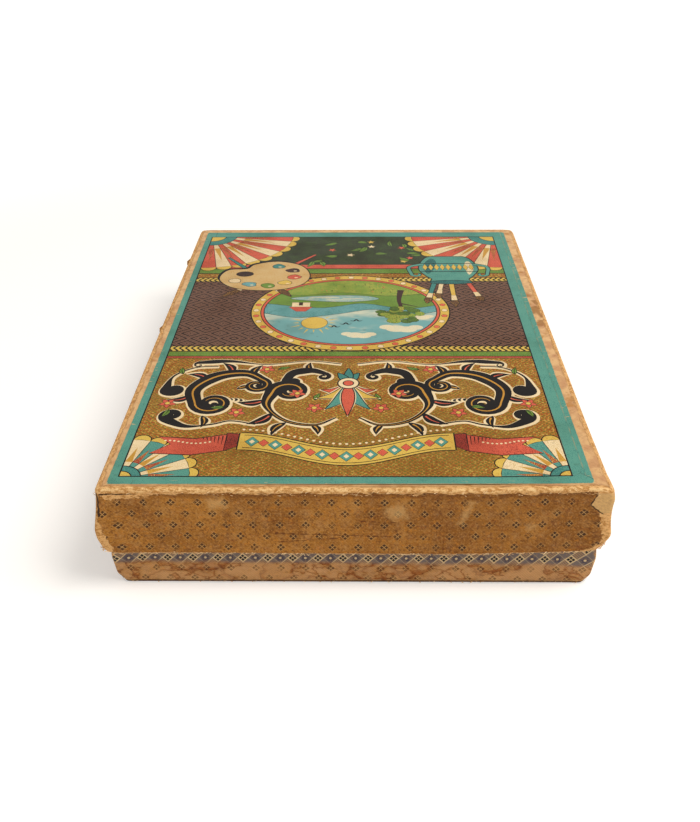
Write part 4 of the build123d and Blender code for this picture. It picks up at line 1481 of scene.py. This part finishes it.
def leafPileTree():
    sizesGiven = ("Width", "Length", "Pitch", "Thickness", "Lowest", "Drift", "Turn", "Wave")
    inputs = {"Leaves": "Int", **{name: "Float" for name in sizesGiven}, "Seed": "Int", "Material": "Material"}
    t = NodeTree("leafPile", inputs)
    g = t.given
    first = t.add("ShaderNodeCombineXYZ", {2: g["Lowest"]})
    step = t.add("ShaderNodeCombineXYZ", {2: g["Pitch"]})
    line = t.add("GeometryNodeMeshLine", {"Count": g["Leaves"], "Start Location": first, "Offset": step})
    drift = t.randomShift(g["Drift"], (0, 1))
    points = t.add("GeometryNodeSetPosition", {"Geometry": line, "Offset": drift})
    lessTurn = t.add("ShaderNodeMath", {0: g["Turn"], 1: -1.0}, operation="MULTIPLY")
    turn = t.add("FunctionNodeRandomValue", {2: lessTurn, 3: g["Turn"], 8: g["Seed"]}, data_type="FLOAT")
    turned = t.add("ShaderNodeCombineXYZ", {2: turn.outputs[1]})
    leafGrid = {"Size X": g["Width"], "Size Y": g["Length"], "Vertices X": 15, "Vertices Y": 21}
    leaf = t.add("GeometryNodeMeshGrid", leafGrid)
    leaves = t.add("GeometryNodeInstanceOnPoints", {"Points": points, "Instance": leaf, "Rotation": turned})
    whole = t.add("GeometryNodeRealizeInstances", {"Geometry": leaves})
    here = t.add("GeometryNodeInputPosition", {})
    flat = t.add("ShaderNodeVectorMath", {0: here, 1: (1.0, 1.0, 0.0)}, operation="MULTIPLY")
    ripple = t.add("ShaderNodeTexNoise", {"Vector": flat, "Scale": 14.0, "Detail": 1.0})
    lift = t.add("ShaderNodeMath", {0: ripple, 1: g["Wave"]}, operation="MULTIPLY")
    upward = t.add("ShaderNodeCombineXYZ", {2: lift})
    waved = t.add("GeometryNodeSetPosition", {"Geometry": whole, "Offset": upward})
    thick = t.add("ShaderNodeCombineXYZ", {2: g["Thickness"]})
    raised = {"Mesh": waved, "Offset": thick, "Offset Scale": 1.0, "Individual": False}
    upper = t.add("GeometryNodeExtrudeMesh", raised, mode="FACES")
    under = t.add("GeometryNodeFlipFaces", {"Mesh": waved})
    both = t.add("GeometryNodeJoinGeometry", {0: [upper, under]})
    closed = t.add("GeometryNodeMergeByDistance", {"Geometry": both, "Distance": 0.00001})
    return t.end(closed)


def drawingPaperMaterial():
    r = Recipe("oldDrawingPaper", roughness=0.85, specular=0.15)
    high = sizes("drawing_paper")[1]
    tone = r.mix(r.rise(r.noise(45, 3, seed=61), 0.35, 0.65), colour(230, 214, 180), colour(220, 200, 160))
    edge = r.least(*(r.minus(half, r.math("ABSOLUTE", v)) for half, v in ((high[0], r.x), (high[1], r.y))))
    tone = r.touch(tone, colour(186, 146, 96), r.add(edge, r.times(r.noise(7, 4, seed=62), 9)), 13, 3, 0.5)
    tone = r.touch(tone, colour(170, 122, 72), r.noise(5, 5, seed=63), 0.66, 0.72, 0.35)
    tooth = r.noise(0.35, 3, seed=64)
    tone = r.touch(tone, colour(150, 120, 84), tooth, 0.4, 0.7, 0.12, "MULTIPLY")
    return r.finish(tone, r.bump(tooth, 0.04, 0.7))


def makeDrawingPaper():
    low, high = sizes("drawing_paper")
    width, length, height = (b - a for a, b in zip(low, high))
    driftRoom, topRoom = 2.2, 0.2  # millimetres left for the leaves' drift and for the top leaf's wave
    facts = {
        **paperPile,
        "Width": (width - driftRoom) * mm,
        "Length": (length - driftRoom) * mm,
        "Pitch": (height - topRoom) / paperPile["Leaves"] * mm,
        "Lowest": low[2] * mm,
        "Material": drawingPaperMaterial(),
    }
    return leafPileTree().run("drawingPaper", **facts)


drawingPaper = makeDrawingPaper()
place(drawingPaper, "drawing_paper", "drawing_paper", "drawing_paper")
print("drawing paper:", len(drawingPaper.data.polygons), "faces")

# The stencil cards keep their own cut shapes and are dressed as oiled manila card with crayon rubbed round the cuts
crayons = {"red": colour(186, 70, 58), "blue": colour(62, 98, 150), "green": colour(84, 128, 70), "rubbed": 0.32}


def stencilCardMaterial():
    r = Recipe("oiledManilaCard", roughness=0.55, specular=0.25)
    layer = r.times(r.z, 3.7)  # each card in the pile gets its own blotches
    own = r.join(r.x, r.y, r.math("SNAP", layer, 3.7))
    card = r.mix(r.rise(r.noise(32, 3, place=own, seed=81), 0.35, 0.65), colour(206, 166, 100), colour(184, 140, 76))
    fibres = r.rise(r.noise(1.4, 3, place=own, stretch=(0.4, 1.6, 1), seed=82), 0.56, 0.7)
    card = r.mix(r.times(fibres, 0.3), card, colour(228, 196, 138))
    card = r.touch(card, colour(120, 84, 44), r.cells(3.6, place=own, seed=3), 0.1, 0.04, 0.5)
    slanted = r.join(r.add(r.x, r.y), r.times(r.minus(r.x, r.y), 0.12), layer)
    strokes = r.noise(0.9, 2, place=slanted, seed=83)
    for seed, (name, reach) in enumerate((("red", 0.58), ("blue", 0.6), ("green", 0.6))):
        area = r.rise(r.noise(20, 2, place=own, seed=84 + seed), reach, reach + 0.07)
        card = r.mix(r.times(area, r.rise(strokes, 0.46, 0.56), crayons["rubbed"]), card, crayons[name])
    normal = r.tree.nodes.new("ShaderNodeTexCoord").outputs["Normal"]
    cut = r.rise(r.math("ABSOLUTE", r.split(normal)[2]), 0.6, 0.3)
    card = r.mix(r.times(cut, 0.6), card, colour(138, 98, 54))
    card = r.touch(card, colour(120, 80, 40), r.noise(7, 5, place=own, seed=88), 0.62, 0.72, 0.3)
    relief = r.bump(r.noise(0.7, 4, place=own, seed=89), 0.05, 0.7)
    return r.finish(card, relief)


# Pencils: lacquer on the round barrel, bare cedar where it is sharpened or cut, each in its own colour
pencils = {
    "1": {"across": -13.0, "turn": 1.6, "lacquer": colour(142, 48, 36), "worn": colour(176, 92, 64)},
    "2": {"across": 0.0, "turn": -1.0, "lacquer": colour(188, 138, 62), "worn": colour(206, 168, 102)},
    "3": {"across": 13.0, "turn": 2.0, "lacquer": colour(38, 66, 72), "worn": colour(84, 108, 104)},
    "radius": 3.5,
}


def pencilMaterial(number):
    pencil = pencils[number]
    r = Recipe(f"pencil{number}Cedar", roughness=0.4, specular=0.35)
    low, high = sizes(f"pencil_{number}_barrel")
    angle = math.radians(pencil["turn"])
    fromAxis = r.add(r.x, r.times(r.y, math.sin(angle)), -pencil["across"])
    aboveAxis = r.minus(r.z, (low[2] + high[2]) / 2)
    radius = r.math("SQRT", r.add(r.times(fromAxis, fromAxis), r.times(aboveAxis, aboveAxis)))
    grain = r.noise(1.0, 4, stretch=(1.6, 0.12, 1.6), seed=91)
    wood = r.mix(r.rise(grain, 0.35, 0.65), colour(206, 150, 100), colour(170, 106, 64))
    wood = r.touch(wood, colour(126, 74, 44), r.noise(0.3, 2, stretch=(2.0, 0.2, 2.0), seed=92), 0.55, 0.7, 0.4)
    coat = r.mix(r.rise(r.noise(14, 4, seed=93), 0.4, 0.7), pencil["lacquer"], pencil["worn"])
    chips = r.rise(r.noise(1.6, 5, stretch=(1.0, 0.5, 1.0), seed=94 + int(number)), 0.66, 0.69)
    chipped = r.add(radius, r.times(r.noise(1.1, 3, seed=95), 0.12))
    painted = r.rise(chipped, pencils["radius"] - 0.07, pencils["radius"] - 0.02)
    painted = r.times(painted, r.minus(1.0, r.times(chips, 0.9)))
    tone = r.mix(painted, wood, coat)
    relief = r.bump(r.noise(0.6, 3, stretch=(1.5, 0.2, 1.5), seed=96), 0.05, 0.6)
    return r.finish(tone, relief, r.math("MULTIPLY_ADD", painted, -0.38, 0.75))


def graphiteMaterial():
    r = Recipe("graphite", roughness=0.45, specular=0.6)
    tone = r.mix(r.rise(r.noise(0.8, 4, seed=97), 0.35, 0.65), colour(58, 58, 62), colour(88, 88, 92))
    return r.finish(tone, r.bump(r.noise(0.3, 3, seed=98), 0.04, 0.7))


def dressNode(name, material):
    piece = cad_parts[name]
    for held in piece.material_slots:
        held.link = "OBJECT"
        held.material = material


manila = stencilCardMaterial()
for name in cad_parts:
    if name.startswith("stencil_card_"):
        dressNode(name, manila)
graphite = graphiteMaterial()
for number in ("1", "2", "3"):
    dressNode(f"pencil_{number}_barrel", pencilMaterial(number))
    dressNode(f"pencil_{number}_lead", graphite)
print("stencil cards and pencils dressed")

# Loose fibres where the paper is rubbed through, scattered along the rims and the lid's near edge
fibres = {
    "lidRim": {"Spacing": 0.8 * mm, "Spread": 0.34 * mm, "Long": 1.0, "Seed": 3},
    "nearEdge": {"Spacing": 0.5 * mm, "Spread": 1.0 * mm, "Long": 0.9, "Seed": 5},
    "foot": {"Spacing": 2.0 * mm, "Spread": 0.2 * mm, "Long": 0.7, "Seed": 9},
    "fibre": (0.3, 0.08, 2.0),  # width, thickness and length of the longest, in millimetres
}


def fibreTree():
    inputs = {"Spacing": "Float", "Spread": "Float", "Long": "Float", "Seed": "Int", "Material": "Material"}
    t = NodeTree("paperFibres", inputs)
    g = t.given
    line = t.add("GeometryNodeMeshToCurve", {"Mesh": g["Geometry"]})
    spaced = t.add("GeometryNodeCurveToPoints", {"Curve": line, "Length": g["Spacing"]}, mode="LENGTH")
    shift = t.randomShift(g["Spread"], (0, 1, 2))
    points = t.add("GeometryNodeSetPosition", {"Geometry": spaced.outputs["Points"], "Offset": shift})
    leanings = {0: (-0.35, -0.35, -0.9), 1: (0.35, 0.35, 0.9), 8: g["Seed"]}  # radians
    tilt = t.add("FunctionNodeRandomValue", leanings, data_type="FLOAT_VECTOR")
    turned = t.add("FunctionNodeRotateRotation", {"Rotation": spaced.outputs["Rotation"], "Rotate By": tilt})
    wide, thick, length = fibres["fibre"]
    body = t.add("GeometryNodeMeshCylinder", {"Vertices": 5, "Radius": wide / 2 * mm, "Depth": length * mm})
    bent = t.add("GeometryNodeTransform", {"Geometry": body, "Scale": (1.0, thick / wide, 1.0)})
    size = t.add("FunctionNodeRandomValue", {2: 0.35, 3: 1.25, 8: g["Seed"]}, data_type="FLOAT")
    long = t.add("ShaderNodeMath", {0: size.outputs[1], 1: g["Long"]}, operation="MULTIPLY")
    scale = t.add("ShaderNodeCombineXYZ", {0: size.outputs[1], 1: size.outputs[1], 2: long})
    each = {"Points": points, "Instance": bent, "Rotation": turned, "Scale": scale}
    scattered = t.add("GeometryNodeInstanceOnPoints", each)
    return t.end(scattered)


def fibreMaterial():
    r = Recipe("looseFibres", roughness=0.9, specular=0.1)
    tone = r.mix(r.rise(r.noise(3, 3, seed=101), 0.4, 0.6), colour(240, 206, 154), colour(206, 160, 104))
    return r.finish(tone, r.bump(r.noise(0.3, 2, seed=102), 0.02, 0.5))


# A line of edges round a tray at one height, or along its near end only
def edgeLine(tray, height, inset, nearOnly=False):
    reach = tray["halfWidth"] - inset
    far = tray["halfLength"] - inset
    corners = [(-reach, -far), (reach, -far)]
    if not nearOnly:
        corners += [(reach, far), (-reach, far), (-reach, -far)]
    points = []
    for a, b in zip(corners, corners[1:]):
        count = int(math.dist(a, b) / 3)
        points += [(a[0] + (b[0] - a[0]) * i / count, a[1] + (b[1] - a[1]) * i / count, height) for i in range(count)]
    points = handled(points, tray) * mm
    data = bpy.data.meshes.new("edgeLine")
    edges = [(i, i + 1) for i in range(len(points) - 1)] + ([] if nearOnly else [(len(points) - 1, 0)])
    data.from_pydata(points.tolist(), edges, [])
    return data


fibreNodes = fibreTree()
looseFibre = fibreMaterial()
for name, body, line in (
    ("lidRim", "lid", edgeLine(lid, lid["rim"] + 0.2, 0.1)),
    ("nearEdge", "lid", edgeLine(lid, lid["panel"] - 1.6, 0.45, nearOnly=True)),
    ("foot", "base", edgeLine(base, 0.55, 0.1)),
):
    piece = fibreNodes.run(name + "Fibres", start=line, Material=looseFibre, **fibres[name])
    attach(piece, body)
    print(name, "fibres:", len(piece.data.polygons), "faces")

# Torn slivers of paper that stand out from the lid's left fold: place along the box, height, length and reach
slivers = [(0.0, 43.6, 5.0, 1.9), (82.0, 43.8, 6.5, 2.0), (118.0, 44.0, 3.0, 0.8)]
sliverThickness = 0.22


def makeSlivers():
    mesh = bmesh.new()
    for along, height, length, reach in slivers:
        edge = -lid["halfWidth"] + 0.25
        outline = [
            (edge, along, height),
            (edge - 0.2, along + length, height + 0.5),
            (edge - reach, along + length * 0.6, height - 0.3),
            (edge - reach * 0.8, along + length * 0.1, height - 1.0),
        ]
        upper = [mesh.verts.new(Vector(p) * mm) for p in outline]
        lower = [mesh.verts.new((Vector(p) - Vector((0, 0, sliverThickness))) * mm) for p in outline]
        mesh.faces.new(upper)
        mesh.faces.new(lower[::-1])
        for i in range(4):
            mesh.faces.new((upper[i], lower[i], lower[i - 3], upper[i - 3]))
    bmesh.ops.recalc_face_normals(mesh, faces=mesh.faces)
    piece = fromBmesh("foldSlivers", mesh)
    r = Recipe("tornPaper", roughness=0.85, specular=0.15)
    tone = r.mix(r.rise(r.noise(1.5, 3, seed=103), 0.4, 0.6), coverInks["fadedDeep"], coverInks["bareShade"])
    dress(piece, r.finish(tone, r.bump(r.noise(0.5, 3, seed=104), 0.04, 0.6)))
    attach(piece, "lid")


makeSlivers()
print("slivers:", len(slivers))

# Camera: solved from the straight edges in the photograph, with the principal point in the middle
camera = {
    "place": (3.4, -396.6, 240.9),
    "pitch": 31.41,
    "yaw": -0.88,
    "roll": -0.41,
    "focalPixels": 930.0,
    "frameHeight": 822.0,
}


def makeCamera():
    pitch, yaw, roll = (math.radians(camera[k]) for k in ("pitch", "yaw", "roll"))
    ahead = Vector((math.sin(yaw) * math.cos(pitch), math.cos(yaw) * math.cos(pitch), -math.sin(pitch)))
    right = Vector((math.cos(yaw), -math.sin(yaw), 0))
    up = right.cross(ahead)
    turned = math.cos(roll) * right + math.sin(roll) * up
    upright = -math.sin(roll) * right + math.cos(roll) * up
    lens = bpy.data.cameras.new("camera")
    lens.sensor_width = 36.0
    lens.lens = camera["focalPixels"] / camera["frameHeight"] * lens.sensor_width
    lens.clip_start = 0.01
    eye = linked("camera", lens)
    basis = Matrix((turned, upright, -ahead)).transposed()
    eye.matrix_world = Matrix.Translation(Vector(camera["place"]) * mm) @ basis.to_4x4()
    bpy.context.scene.camera = eye


# Light: a large soft lamp up to the right, a weak one in front, and a pale room. The floor shows to the eye with a
# glow of its own, from the first value by the box to the second further off, between the two reaches in metres.
light = {
    "key": {"at": (0.7, -0.25, 1.15), "size": 0.8, "power": 13.0},
    "fill": {"at": (-0.35, -1.3, 0.75), "size": 1.2, "power": 3.0},
    "room": 0.42,
    "roomTint": (1.0, 0.985, 0.96, 1.0),
    "floor": colour(240, 235, 227),
    "floorHalf": 3.0,
    "floorDrop": 0.0001,
    "floorGlow": (0.33, 1.0),
    "glowReach": (0.3, 0.9),
}


def newNodes(tree, *kinds):
    return [tree.nodes.new("ShaderNode" + kind) for kind in kinds]


# 1 for the rays that show the white room itself, to the eye or in a shiny surface
def seenDirectly(tree):
    path = newNodes(tree, "LightPath")[0]
    seen = path.outputs["Is Camera Ray"]
    for name in ("Is Glossy Ray", "Is Transmission Ray"):
        either = newNodes(tree, "Math")[0]
        either.operation = "MAXIMUM"
        tree.links.new(seen, either.inputs[0])
        tree.links.new(path.outputs[name], either.inputs[1])
        seen = either.outputs[0]
    return seen


def makeLight():
    for name in ("key", "fill"):
        lamp = bpy.data.lights.new(name, "AREA")
        lamp.energy = light[name]["power"]
        lamp.size = light[name]["size"]
        holder = linked(name, lamp)
        at = Vector(light[name]["at"])
        holder.location = at
        holder.rotation_euler = (-at).to_track_quat("-Z", "Y").to_euler()
    world = bpy.data.worlds.new("room")
    bpy.context.scene.world = world
    world.use_nodes = True
    tree = world.node_tree
    tree.nodes.clear()
    output = tree.nodes.new("ShaderNodeOutputWorld")
    glow, white, choose = newNodes(tree, "Background", "Background", "MixShader")
    glow.inputs["Strength"].default_value = light["room"]
    glow.inputs["Color"].default_value = light["roomTint"]
    white.inputs["Strength"].default_value = 1.0
    white.inputs["Color"].default_value = (1.0, 1.0, 1.0, 1)
    tree.links.new(seenDirectly(tree), choose.inputs[0])
    tree.links.new(glow.outputs[0], choose.inputs[1])
    tree.links.new(white.outputs[0], choose.inputs[2])
    tree.links.new(choose.outputs[0], output.inputs[0])


def makeFloor():
    mesh = bpy.data.meshes.new("floor")
    half, below = light["floorHalf"], -light["floorDrop"]
    corners = [(x * half, y * half, below) for x, y in ((-1, -1), (1, -1), (1, 1), (-1, 1))]
    mesh.from_pydata(corners, [], [(0, 1, 2, 3)])
    floor = linked("floor", mesh)
    material = bpy.data.materials.new("paleFloor")
    material.use_nodes = True
    tree = material.node_tree
    tree.nodes.clear()
    output = tree.nodes.new("ShaderNodeOutputMaterial")
    matt, shine, both, amount = newNodes(tree, "BsdfDiffuse", "Emission", "AddShader", "Math")
    matt.inputs["Color"].default_value = light["floor"]
    amount.operation = "MULTIPLY"
    where, away, spread = newNodes(tree, "TexCoord", "VectorMath", "MapRange")
    away.operation = "LENGTH"
    spread.interpolation_type = "SMOOTHSTEP"
    for socket, value in zip(("From Min", "From Max", "To Min", "To Max"), light["glowReach"] + light["floorGlow"]):
        spread.inputs[socket].default_value = value
    tree.links.new(where.outputs["Object"], away.inputs[0])
    tree.links.new(away.outputs["Value"], spread.inputs["Value"])
    tree.links.new(seenDirectly(tree), amount.inputs[0])
    tree.links.new(spread.outputs["Result"], amount.inputs[1])
    tree.links.new(amount.outputs[0], shine.inputs["Strength"])
    tree.links.new(matt.outputs[0], both.inputs[0])
    tree.links.new(shine.outputs[0], both.inputs[1])
    tree.links.new(both.outputs[0], output.inputs["Surface"])
    dress(floor, material)


makeCamera()
makeLight()
makeFloor()
bpy.context.scene.view_settings.view_transform = "Standard"
print("camera, light and floor made")
